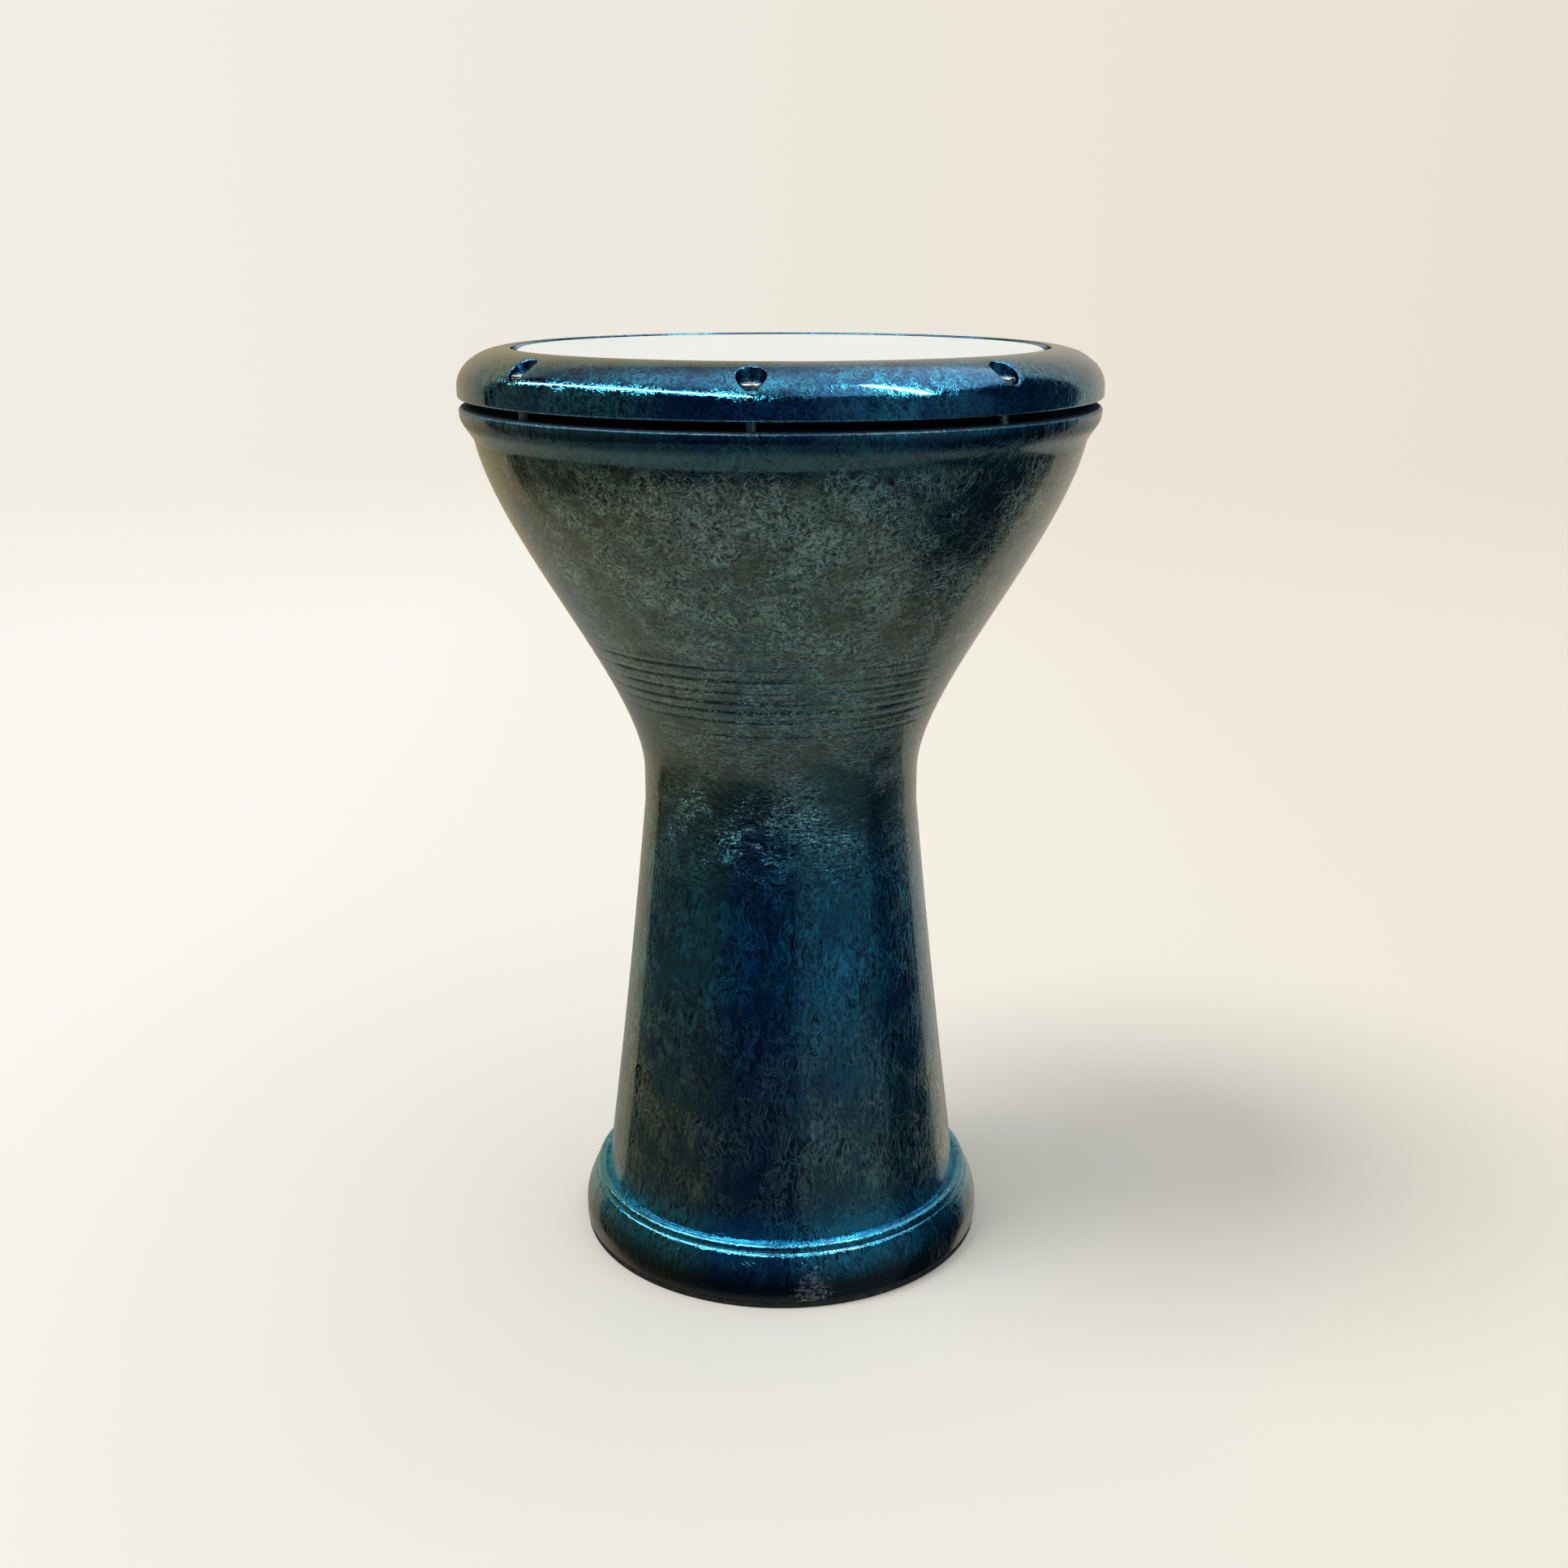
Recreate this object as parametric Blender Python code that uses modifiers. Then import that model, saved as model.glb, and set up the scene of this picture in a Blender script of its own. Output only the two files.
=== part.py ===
"""A goblet drum (darbuka): a cast shell, a film head on a channel hoop, and a
clamp ring that eight socket-head bolts pull down to tune it.

The origin is at the middle of the foot, on the floor, and +Z is the drum's axis.
Sizes are in millimetres, and MM turns them into metres when a mesh is made.
Turned pieces are outlines of (radius, height) that a Screw modifier sweeps: an
outline runs down its outer side and back up its inner side.
"""

import math

import bmesh
import bpy
from mathutils import Matrix

MM = 0.001
SEGMENTS = 48
SMALL_SEGMENTS = 16
GAP = 0.3

# Foot and stem
PAD_T = 3.0
PAD_INSET = 0.5
PAD_LIP_H = 6.0
PAD_LIP_T = 2.4
BORE_STEP = 1.0
STEM_FOOT_R = 88.1
FOOT_FLARE = 11.9
FOOT_EDGE = 7.5
FOOT_CHAMFER = 0.6
SKIRT_H = 20.0
SKIRT_STRAIGHT = 6.5
BEAD_R = 3.7
NECK_R = 65.8
NECK_Z = 222.0
NECK_LEN = 15.4
STEM_SAG = 1.7

# Bowl and rim
SHELL_H = 410.1
WALL = 4.0
BOWL_LOW_PULL = 0.256
BOWL_TOP_PULL = 0.301
BOWL_TOP_SLOPE = 0.224
RIM_OVERHANG = 6.5
RIM_ROUND = 1.6
RIM_FLOOR = 7.0
RIM_PLATE_T = 7.0

# Head: film, hoop and the edge they bear on
HEAD_R = 119.5
BEARING_RISE = 24.3
BEARING_T = 4.3
BEARING_ROUND = 3.1
FILM_T = 0.3
HOOP_CLEAR = 2.1
HOOP_W = 6.4
HOOP_H = 7.0
HOOP_WALL = 1.0
HOOP_INNER_DROP = 2.0
RESIN_DROP = 0.2
RESIN_UNDER = 1.1

# Tuning bolts, washers and thread inserts
BOLT_COUNT = 8
BOLT_TURN = -4.6
BOLT_D = 6.0
BOLT_LEN = 20.0
HEAD_D = 10.0
HEAD_H = 6.0
HEAD_CHAMFER = 0.6
SOCKET_AF = 5.0
SOCKET_DEPTH = 3.0
SOCKET_STEP = 37.0
WASHER_EXTRA = 1.0
WASHER_T = 1.6
INSERT_WALL = 0.5
TIGHTEN = 1.0
TIP_CLEAR = 0.2

# Clamp ring
RING_GAP = 3.8
RING_BASE_T = 6.3
PRESS_RISE = 7.6
PRESS_W = 2.4
SKIRT_CLEAR = 0.6
WELL_CLEAR = 0.5
WELL_INNER_WALL = 3.4
RING_WALL = 2.2
RING_SIDE_H = 5.1
RING_EDGE = 1.3
LIP_CLEAR = 1.8
LIP_PROUD = 0.6
LIP_ROUND = 0.8
LIP_DEPTH = 3.6
RIM_INSET = 0.5

# Radii, worked outwards from the bearing edge
FILM_MID_R = HEAD_R + GAP + FILM_T / 2
HOOP_IN_R = HEAD_R + HOOP_CLEAR
HOOP_OUT_R = HOOP_IN_R + HOOP_W
FILM_SEAT_R = (HOOP_IN_R + HOOP_OUT_R) / 2
LIP_R = FILM_MID_R + FILM_T / 2 + LIP_CLEAR
RING_IN_R = HOOP_OUT_R + SKIRT_CLEAR
WASHER_R = (HEAD_D + WASHER_EXTRA) / 2
WELL_R = WASHER_R + WELL_CLEAR
BOLT_CIRCLE_R = RING_IN_R + WELL_INNER_WALL + WELL_R
RING_R = BOLT_CIRCLE_R + WELL_R + RING_WALL
RIM_R = RING_R - RIM_INSET
BOWL_TOP_R = RIM_R - RIM_OVERHANG
COLLAR_IN_R = HEAD_R - BEARING_T
FOOT_R = STEM_FOOT_R + FOOT_FLARE
FOOT_BORE_R = FOOT_R - FOOT_EDGE
SHANK_HOLE_R = BOLT_D / 2 + GAP
INSERT_R = SHANK_HOLE_R + INSERT_WALL

# Heights, worked upwards from the floor
SHELL_Z = PAD_T + GAP
CREASE_Z = SHELL_Z + SKIRT_H
RING_Z = SHELL_H + RING_GAP
WELL_Z = RING_Z + RING_BASE_T
WASHER_Z = WELL_Z + GAP
BOLT_HEAD_Z = WASHER_Z + WASHER_T + GAP
BOLT_TIP_Z = BOLT_HEAD_Z - BOLT_LEN
HOLE_Z = BOLT_TIP_Z - TIGHTEN - TIP_CLEAR
BOWL_TOP_Z = HOLE_Z - RIM_FLOOR
BEARING_Z = SHELL_H + BEARING_RISE
FILM_MID_Z = BEARING_Z + GAP + FILM_T / 2
RING_TOP_Z = FILM_MID_Z + FILM_T / 2 + LIP_PROUD
PRESS_Z = RING_Z + PRESS_RISE
HOOP_TOP_Z = PRESS_Z - GAP
HOOP_Z = HOOP_TOP_Z - HOOP_H
RESIN_Z = HOOP_Z + HOOP_WALL + GAP
RESIN_TOP_Z = HOOP_TOP_Z - HOOP_INNER_DROP - RESIN_DROP
FILM_END_Z = RESIN_Z + RESIN_UNDER

FINISHES = {
    "shell_lacquer": ((0.018, 0.075, 0.105), 0.22, 0.65),
    "ring_lacquer": ((0.02, 0.14, 0.22), 0.2, 0.7),
    "clear_film": ((0.78, 0.79, 0.76), 0.35, 0.0),
    "bare_aluminium": ((0.72, 0.73, 0.74), 0.35, 1.0),
    "pale_resin": ((0.82, 0.77, 0.6), 0.5, 0.0),
    "nickel_steel": ((0.75, 0.75, 0.74), 0.2, 1.0),
    "zinc_steel": ((0.62, 0.63, 0.64), 0.3, 1.0),
    "brass": ((0.72, 0.52, 0.22), 0.3, 1.0),
    "black_rubber": ((0.012, 0.012, 0.012), 0.6, 0.0),
}


def clear_scene():
    for obj in list(bpy.data.objects):
        bpy.data.objects.remove(obj, do_unlink=True)


def new_collection(name):
    made = bpy.data.collections.new(name)
    bpy.context.scene.collection.children.link(made)
    return made


def finish(name):
    """The named material, made the first time it is asked for."""
    found = bpy.data.materials.get(name)
    if found:
        return found
    colour, roughness, metallic = FINISHES[name]
    made = bpy.data.materials.new(name)
    made.use_nodes = True
    shader = made.node_tree.nodes["Principled BSDF"]
    shader.inputs["Base Color"].default_value = (*colour, 1.0)
    shader.inputs["Roughness"].default_value = roughness
    shader.inputs["Metallic"].default_value = metallic
    return made


def arc(centre, radii, start, end, steps):
    """Points on an ellipse from one angle to another, in degrees from +radius."""
    turns = [math.radians(start + (end - start) * k / steps) for k in range(steps + 1)]
    return [
        (centre[0] + radii[0] * math.cos(t), centre[1] + radii[1] * math.sin(t))
        for t in turns
    ]


def bezier(start, leave, arrive, end, steps):
    """Points on a cubic Bezier curve, both ends included."""

    def at(t):
        weights = ((1 - t) ** 3, 3 * t * (1 - t) ** 2, 3 * t * t * (1 - t), t**3)
        corners = (start, leave, arrive, end)
        return tuple(sum(w * c[k] for w, c in zip(weights, corners)) for k in (0, 1))

    return [at(k / steps) for k in range(steps + 1)]


def inset(points, wall):
    """The points moved by the wall's thickness, to the left of the way they run."""
    moved = []
    for k, (r, z) in enumerate(points):
        before = points[max(k - 1, 0)]
        after = points[min(k + 1, len(points) - 1)]
        run = (after[0] - before[0], after[1] - before[1])
        length = math.hypot(*run)
        moved.append((r - wall * run[1] / length, z + wall * run[0] / length))
    return moved


def place(obj, collection, material=None):
    collection.objects.link(obj)
    if material:
        obj.data.materials.append(finish(material))
    return obj


def add_screw(obj, segments):
    screw = obj.modifiers.new("turn", "SCREW")
    screw.axis = "Z"
    screw.angle = math.tau
    screw.steps = segments
    screw.render_steps = segments
    screw.use_merge_vertices = True
    screw.merge_threshold = 0.00001
    screw.use_smooth_shade = True


def turned(name, outline, material, collection, closed=True, segments=SEGMENTS):
    """A piece swept round Z from an outline of (radius, height)."""
    mesh = bpy.data.meshes.new(name)
    points = [(r * MM, 0, z * MM) for r, z in outline]
    edges = [(k, k + 1) for k in range(len(points) - 1)]
    if closed:
        edges.append((len(points) - 1, 0))
    mesh.from_pydata(points, edges, [])
    obj = place(bpy.data.objects.new(name, mesh), collection, material)
    add_screw(obj, segments)
    return obj


def cylinders(name, radius, low, high, centres, cutters, sides=SMALL_SEGMENTS, turn=0.0):
    """A cutter of upright cylinders, one at each (x, y) centre."""
    bm = bmesh.new()
    for x, y in centres:
        spot = Matrix.Translation((x * MM, y * MM, (low + high) / 2 * MM))
        bmesh.ops.create_cone(
            bm,
            cap_ends=True,
            segments=sides,
            radius1=radius * MM,
            radius2=radius * MM,
            depth=(high - low) * MM,
            matrix=spot @ Matrix.Rotation(turn, 4, "Z"),
        )
    mesh = bpy.data.meshes.new(name)
    bm.to_mesh(mesh)
    bm.free()
    obj = place(bpy.data.objects.new(name, mesh), cutters)
    obj.hide_render = True
    obj.display_type = "WIRE"
    return obj


def cut(obj, cutter):
    boolean = obj.modifiers.new(cutter.name, "BOOLEAN")
    boolean.operation = "DIFFERENCE"
    boolean.solver = "EXACT"
    boolean.object = cutter


def bolt_places():
    """The bolts' (x, y) centres, counted round from the front."""
    turns = [
        math.radians(BOLT_TURN + 360 * k / BOLT_COUNT - 90) for k in range(BOLT_COUNT)
    ]
    return [(BOLT_CIRCLE_R * math.cos(t), BOLT_CIRCLE_R * math.sin(t)) for t in turns]


def stem_outside():
    """From the neck down to the foot: a straight taper with a slight hollow."""
    low_z = CREASE_Z + BEAD_R * 1.6
    middle = ((NECK_R + STEM_FOOT_R) / 2 - STEM_SAG, (NECK_Z + low_z) / 2)
    top = (NECK_R, NECK_Z)
    foot = (STEM_FOOT_R, low_z)
    pull = 2 / 3
    leave = tuple(a + pull * (m - a) for a, m in zip(top, middle))
    arrive = tuple(a + pull * (m - a) for a, m in zip(foot, middle))
    return bezier(top, leave, arrive, foot, 4)


def bowl_outside():
    """From the rim down to the neck: one S-shaped curve."""
    neck_top = NECK_Z + NECK_LEN
    rise = BOWL_TOP_Z - neck_top
    drop = rise * BOWL_TOP_PULL
    top = (BOWL_TOP_R, BOWL_TOP_Z)
    leave = (BOWL_TOP_R - BOWL_TOP_SLOPE * drop, BOWL_TOP_Z - drop)
    arrive = (NECK_R, neck_top + rise * BOWL_LOW_PULL)
    return bezier(top, leave, arrive, (NECK_R, neck_top), 9)


def foot_outside():
    """The bead round the stem's foot, and the skirt that flares below it."""
    bead_mid = (STEM_FOOT_R + BEAD_R + 0.4, CREASE_Z + BEAD_R * 0.78)
    bead = arc(bead_mid, (BEAD_R, BEAD_R), 155, -50, 6)
    crease_r = bead[-1][0]
    skirt_z = SHELL_Z + SKIRT_STRAIGHT
    skirt = arc((crease_r, skirt_z), (FOOT_R - crease_r, CREASE_Z - skirt_z), 72, 0, 3)
    edge = [
        (FOOT_R, SHELL_Z + FOOT_CHAMFER),
        (FOOT_R - FOOT_CHAMFER, SHELL_Z),
    ]
    return bead + skirt + edge


def rim_outside():
    """The rim's rounded top edge and the hollow curve from it to the bowl."""
    edge = arc((RIM_R - RIM_ROUND, SHELL_H - RIM_ROUND), (RIM_ROUND, RIM_ROUND), 90, 0, 2)
    low = (RIM_R, SHELL_H - RIM_ROUND * 1.6)
    drop = (low[1] - BOWL_TOP_Z) / 3
    leave = (RIM_R, low[1] - drop * 1.15)
    arrive = (BOWL_TOP_R + BOWL_TOP_SLOPE * drop, BOWL_TOP_Z + drop)
    return edge + bezier(low, leave, arrive, (BOWL_TOP_R, BOWL_TOP_Z), 4)[:-1]


def bearing_edge():
    """Up the collar's inner wall, over its rounded edge and down its outer wall."""
    round_mid = (HEAD_R - BEARING_ROUND, BEARING_Z - BEARING_ROUND)
    crown = arc(round_mid, (BEARING_ROUND, BEARING_ROUND), 100, 0, 3)
    inner = [(COLLAR_IN_R, BEARING_Z - BEARING_ROUND * 0.6)]
    foot = [(HEAD_R, SHELL_H + 1.0), (HEAD_R + 1.0, SHELL_H)]
    return inner + crown + foot


def inner_wall():
    """Up the inside, from the foot's bore to the underside of the rim."""
    stem = inset(stem_outside()[::-1], WALL)
    bowl = inset(bowl_outside()[::-1], WALL)
    bowl = [p for p in bowl if p[1] < BOWL_TOP_Z - RIM_FLOOR]
    bore = (FOOT_BORE_R, SHELL_Z + PAD_LIP_H + BORE_STEP)
    reach = (stem[0][1] - bore[1]) * 0.45
    leave = (FOOT_BORE_R, bore[1] + reach)
    arrive = (stem[0][0], stem[0][1] - reach)
    foot = [(FOOT_BORE_R, SHELL_Z)] + bezier(bore, leave, arrive, stem[0], 3)
    start = bowl[-1]
    under_rim = SHELL_H - RIM_PLATE_T
    climb = under_rim - start[1]
    leave = (start[0] + BOWL_TOP_SLOPE * climb, under_rim)
    arrive = ((start[0] + COLLAR_IN_R) / 2, under_rim)
    rim = bezier(start, leave, arrive, (COLLAR_IN_R, under_rim), 4)
    return foot[:-1] + stem[:-1] + bowl + rim[1:]


def make_shell(parts, cutters):
    outline = bearing_edge() + rim_outside() + bowl_outside() + stem_outside()[:-1]
    outline += foot_outside() + inner_wall()
    shell = turned("shell", outline, "shell_lacquer", parts)
    holes = cylinders(
        "insert_holes", INSERT_R + GAP, HOLE_Z, SHELL_H + WALL, bolt_places(), cutters
    )
    cut(shell, holes)


def make_foot_pad(parts):
    """A rubber ring under the foot, with a lip that locates it in the bore."""
    outer = FOOT_R - PAD_INSET
    lip_r = FOOT_BORE_R - GAP
    outline = [
        (lip_r, SHELL_Z + PAD_LIP_H),
        (lip_r, PAD_T),
        (outer - FOOT_CHAMFER, PAD_T),
        (outer, PAD_T - FOOT_CHAMFER),
        (outer, FOOT_CHAMFER),
        (outer - FOOT_CHAMFER, 0),
        (lip_r - PAD_LIP_T, 0),
        (lip_r - PAD_LIP_T, SHELL_Z + PAD_LIP_H),
    ]
    turned("foot_pad", outline, "black_rubber", parts)


def make_film(parts):
    """The head: flat to the bearing edge, over it, and down into the hoop."""
    bend = BEARING_ROUND + GAP + FILM_T / 2
    over = arc((FILM_MID_R - bend, FILM_MID_Z - bend), (bend, bend), 90, 0, 3)
    leave_z = over[-1][1]
    seat = (FILM_SEAT_R, RESIN_TOP_Z + 0.5)
    pull = (leave_z - seat[1]) / 2
    collar = bezier(
        over[-1], (FILM_MID_R, leave_z - pull), (FILM_SEAT_R, seat[1] + pull), seat, 4
    )
    outline = [(0, FILM_MID_Z)] + over + collar[1:] + [(FILM_SEAT_R, FILM_END_Z)]
    film = turned("head_film", outline, "clear_film", parts, closed=False)
    wall = film.modifiers.new("thickness", "SOLIDIFY")
    wall.thickness = FILM_T * MM
    wall.offset = 0
    wall.use_even_offset = True


def make_hoop(parts):
    """The channel hoop that the film's edge is set in."""
    inner_top = HOOP_TOP_Z - HOOP_INNER_DROP
    outline = [
        (HOOP_OUT_R - HOOP_WALL, HOOP_TOP_Z),
        (HOOP_OUT_R, HOOP_TOP_Z),
        (HOOP_OUT_R, HOOP_Z),
        (HOOP_IN_R, HOOP_Z),
        (HOOP_IN_R, inner_top),
        (HOOP_IN_R + HOOP_WALL, inner_top),
        (HOOP_IN_R + HOOP_WALL, HOOP_Z + HOOP_WALL),
        (HOOP_OUT_R - HOOP_WALL, HOOP_Z + HOOP_WALL),
    ]
    turned("head_hoop", outline, "bare_aluminium", parts)


def make_resin(parts):
    """The resin poured into the channel, with the film's edge standing in it."""
    outer = HOOP_OUT_R - HOOP_WALL - GAP
    inner = HOOP_IN_R + HOOP_WALL + GAP
    slot = FILM_T / 2 + GAP
    slot_z = FILM_END_Z - GAP
    outline = [
        (outer, RESIN_TOP_Z),
        (outer, RESIN_Z),
        (inner, RESIN_Z),
        (inner, RESIN_TOP_Z),
        (FILM_SEAT_R - slot, RESIN_TOP_Z),
        (FILM_SEAT_R - slot, slot_z),
        (FILM_SEAT_R + slot, slot_z),
        (FILM_SEAT_R + slot, RESIN_TOP_Z),
    ]
    turned("hoop_resin", outline, "pale_resin", parts)


def make_clamp_ring(parts, cutters):
    """The ring that presses the hoop down, with a well for each bolt's head."""
    crown_r = LIP_R + LIP_ROUND
    side_z = RING_Z + RING_SIDE_H
    crown = arc((crown_r, side_z), (RING_R - crown_r, RING_TOP_Z - side_z), 90, 0, 9)
    lip = arc((crown_r, RING_TOP_Z - LIP_ROUND), (LIP_ROUND, LIP_ROUND), 180, 135, 1)
    outline = lip + crown
    outline += [(RING_R, RING_Z + RING_EDGE), (RING_R - RING_EDGE, RING_Z)]
    outline += [(RING_IN_R, RING_Z), (RING_IN_R, PRESS_Z)]
    outline += [(RING_IN_R - PRESS_W, PRESS_Z), (LIP_R, RING_TOP_Z - LIP_DEPTH)]
    ring = turned("clamp_ring", outline, "ring_lacquer", parts)
    spots = bolt_places()
    above = RING_TOP_Z + WALL
    below = RING_Z - WALL
    cut(ring, cylinders("bolt_wells", WELL_R, WELL_Z, above, spots, cutters, 20))
    cut(ring, cylinders("shank_holes", SHANK_HOLE_R, below, above, spots, cutters))


def bolt_outline():
    """A socket-head bolt's half outline, with its axis at radius 0."""
    head_r = HEAD_D / 2
    head_top = BOLT_HEAD_Z + HEAD_H
    shank_r = BOLT_D / 2
    return [
        (0, head_top),
        (head_r - HEAD_CHAMFER, head_top),
        (head_r, head_top - HEAD_CHAMFER),
        (head_r, BOLT_HEAD_Z),
        (shank_r, BOLT_HEAD_Z),
        (shank_r, BOLT_TIP_Z + HEAD_CHAMFER),
        (shank_r - HEAD_CHAMFER, BOLT_TIP_Z),
        (0, BOLT_TIP_Z),
    ]


def ring_outline(inner, outer, low, high):
    return [(outer, high), (outer, low), (inner, low), (inner, high)]


def make_bolts(parts, cutters):
    """Each bolt, its washer and its thread insert, on their own upright axis."""
    socket_r = SOCKET_AF / 2 / math.cos(math.pi / 6)
    socket_z = BOLT_HEAD_Z + HEAD_H - SOCKET_DEPTH
    above = BOLT_HEAD_Z + HEAD_H + WALL
    washer = ring_outline(SHANK_HOLE_R, WASHER_R, WASHER_Z, WASHER_Z + WASHER_T)
    insert = ring_outline(SHANK_HOLE_R, INSERT_R, HOLE_Z + GAP, SHELL_H - GAP)
    for k, (x, y) in enumerate(bolt_places()):
        spot = (x * MM, y * MM, 0)
        turn = math.radians(SOCKET_STEP * k)
        name = f"tuning_bolt_{k + 1}"
        bolt = turned(
            name, bolt_outline(), "nickel_steel", parts, False, SMALL_SEGMENTS
        )
        bolt.location = spot
        bolt.rotation_euler.z = turn
        socket = cylinders(
            f"socket_{k + 1}", socket_r, socket_z, above, [(0, 0)], cutters, 6
        )
        socket.location = spot
        socket.rotation_euler.z = turn
        cut(bolt, socket)
        for name, outline, metal in (
            (f"bolt_washer_{k + 1}", washer, "zinc_steel"),
            (f"thread_insert_{k + 1}", insert, "brass"),
        ):
            piece = turned(name, outline, metal, parts, segments=SMALL_SEGMENTS)
            piece.location = spot


def main():
    clear_scene()
    parts = new_collection("darbuka")
    cutters = new_collection("cutters")
    make_shell(parts, cutters)
    make_foot_pad(parts)
    make_film(parts)
    make_hoop(parts)
    make_resin(parts)
    make_clamp_ring(parts, cutters)
    make_bolts(parts, cutters)


main()
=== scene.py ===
# %% [markdown]
# # A goblet drum under candy lacquer
#
# A darbuka is a cast goblet with a thin film head. A ring with eight socket-head
# bolts pulls the head down over a rounded edge to tune it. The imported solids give
# every place and size, and this script gives each piece its fine shape and finish.
# Sizes below are in millimetres, and MM turns them into metres at the last moment.

import math

import bpy
import numpy as np
from mathutils import Matrix, Vector


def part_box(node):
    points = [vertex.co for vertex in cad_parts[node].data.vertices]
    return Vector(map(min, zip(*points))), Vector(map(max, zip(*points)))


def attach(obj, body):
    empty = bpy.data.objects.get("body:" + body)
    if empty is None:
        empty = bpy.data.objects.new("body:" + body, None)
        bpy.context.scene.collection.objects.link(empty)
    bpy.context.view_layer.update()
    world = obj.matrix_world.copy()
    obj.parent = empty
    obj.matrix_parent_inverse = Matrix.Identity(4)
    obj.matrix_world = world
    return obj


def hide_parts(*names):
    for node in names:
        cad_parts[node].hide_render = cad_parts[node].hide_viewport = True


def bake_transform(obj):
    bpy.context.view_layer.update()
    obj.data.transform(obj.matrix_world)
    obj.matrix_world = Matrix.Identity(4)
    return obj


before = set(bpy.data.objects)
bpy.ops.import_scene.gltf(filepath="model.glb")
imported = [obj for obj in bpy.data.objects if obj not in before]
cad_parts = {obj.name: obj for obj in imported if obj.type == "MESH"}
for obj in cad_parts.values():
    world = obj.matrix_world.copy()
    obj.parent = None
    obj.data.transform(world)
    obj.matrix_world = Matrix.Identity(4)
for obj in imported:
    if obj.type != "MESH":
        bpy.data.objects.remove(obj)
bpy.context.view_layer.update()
MM = 0.001
scene = bpy.context.scene

# %% [markdown]
# ## The camera, first
#
# The camera looks a little down on the drum, as somebody does who stands two steps
# away from a low table. Making it first means that every later choice, such as how
# fine a curve has to be, can be judged in the same view.

# %% Camera
camera_data = bpy.data.cameras.new("camera")
camera_data.lens = 42.05
camera_data.sensor_width = 36.0
camera = bpy.data.objects.new("camera", camera_data)
camera.location = (0.0015, -0.855, 0.4791)
camera.rotation_euler = (math.radians(73.6), 0, 0)
scene.collection.objects.link(camera)
scene.camera = camera
scene.view_settings.view_transform = "Standard"
print("camera stands", round(-camera.location.y, 3), "m in front of the drum")

# %% [markdown]
# ## Curves as arrays
#
# Nearly all of this drum is turned, so its shapes start as outlines: rows of
# (radius, height). An outline is a numpy array, built from arcs, Bezier curves and
# straight runs whose points are all worked out at once. `rounded` turns a sharp
# outline into one whose corners a hand would slide over.


# %% Outlines
def arc(middle, radii, start, end, steps=12):
    """Points middle + radii * (cos t, sin t), with t from start to end in degrees."""
    t = np.radians(np.linspace(start, end, steps + 1))[:, None]
    return np.array(middle) + np.array(radii) * np.hstack([np.cos(t), np.sin(t)])


def bezier(start, leave, arrive, end, steps=24):
    """Points at (1-t)^3 start + 3t(1-t)^2 leave + 3t^2(1-t) arrive + t^3 end."""
    t = np.linspace(0, 1, steps + 1)[:, None]
    start, leave, arrive, end = map(np.array, (start, leave, arrive, end))
    return (
        (1 - t) ** 3 * start
        + 3 * t * (1 - t) ** 2 * leave
        + 3 * t**2 * (1 - t) * arrive
        + t**3 * end
    )


def rounded(corners, radius, steps=4):
    """A closed outline with each corner c replaced by the curve
    (1-t)^2 a + 2t(1-t) c + t^2 b, where a and b lie a radius before and after c."""
    corners = np.array(corners, float)
    radius = np.broadcast_to(np.array(radius, float), len(corners))[:, None]

    def towards(neighbour):
        run = neighbour - corners
        length = np.linalg.norm(run, axis=1, keepdims=True)
        return corners + run / length * np.minimum(radius, 0.49 * length)

    a = towards(np.roll(corners, 1, axis=0))[:, None]
    b = towards(np.roll(corners, -1, axis=0))[:, None]
    t = np.linspace(0, 1, steps + 1)[None, :, None]
    curve = (1 - t) ** 2 * a + 2 * t * (1 - t) * corners[:, None] + t**2 * b
    return curve.reshape(-1, 2)


def offset(points, distance):
    """The outline moved by distance to the left of the way it runs."""
    run = np.gradient(points, axis=0)
    left = np.stack([-run[:, 1], run[:, 0]], axis=1)
    return points + distance * left / np.linalg.norm(left, axis=1, keepdims=True)


# %% [markdown]
# ## From an outline to a surface
#
# A surface here is a grid of points: rows follow the outline, and columns go round
# the axis. Point (i, j) is joined to its neighbours below and to the side, and the
# last column meets the first, so there is no seam. A row on the axis shrinks to one
# point. An outline that runs down its outer side gives faces that look outwards.


# %% Surfaces
EDGE_ANGLE = 32


def surface(name, points, loop=True, tops=None, edge_angle=EDGE_ANGLE):
    """An object from points[row, column], or points[copy, row, column] for several
    alike. Columns close round, and so do rows if loop is True. Otherwise tops gives
    the two end points on each copy's axis."""
    points = points.reshape(-1, *points.shape[-3:])
    copies, rows, columns = points.shape[:3]
    index = np.arange(points.size // 3).reshape(copies, rows, columns)
    here = index if loop else index[:, :-1]
    below = np.roll(index, -1, axis=1) if loop else index[:, 1:]
    corners = [here, below, np.roll(below, -1, axis=2), np.roll(here, -1, axis=2)]
    faces = np.stack(corners, axis=-1).reshape(-1, 4).tolist()
    places = points.reshape(-1, 3)
    if not loop:
        hub = len(places) + 2 * np.arange(copies)[:, None]
        places = np.vstack([places, np.array(tops, float).reshape(-1, 3)])
        for edge, centre, step in ((index[:, 0], hub, -1), (index[:, -1], hub + 1, 1)):
            fan = [edge * 0 + centre, edge, np.roll(edge, step, axis=1)]
            faces += np.stack(fan, axis=-1).reshape(-1, 3).tolist()
    mesh = bpy.data.meshes.new(name)
    mesh.from_pydata((places * MM).tolist(), [], faces)
    return as_object(name, mesh, edge_angle)


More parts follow.
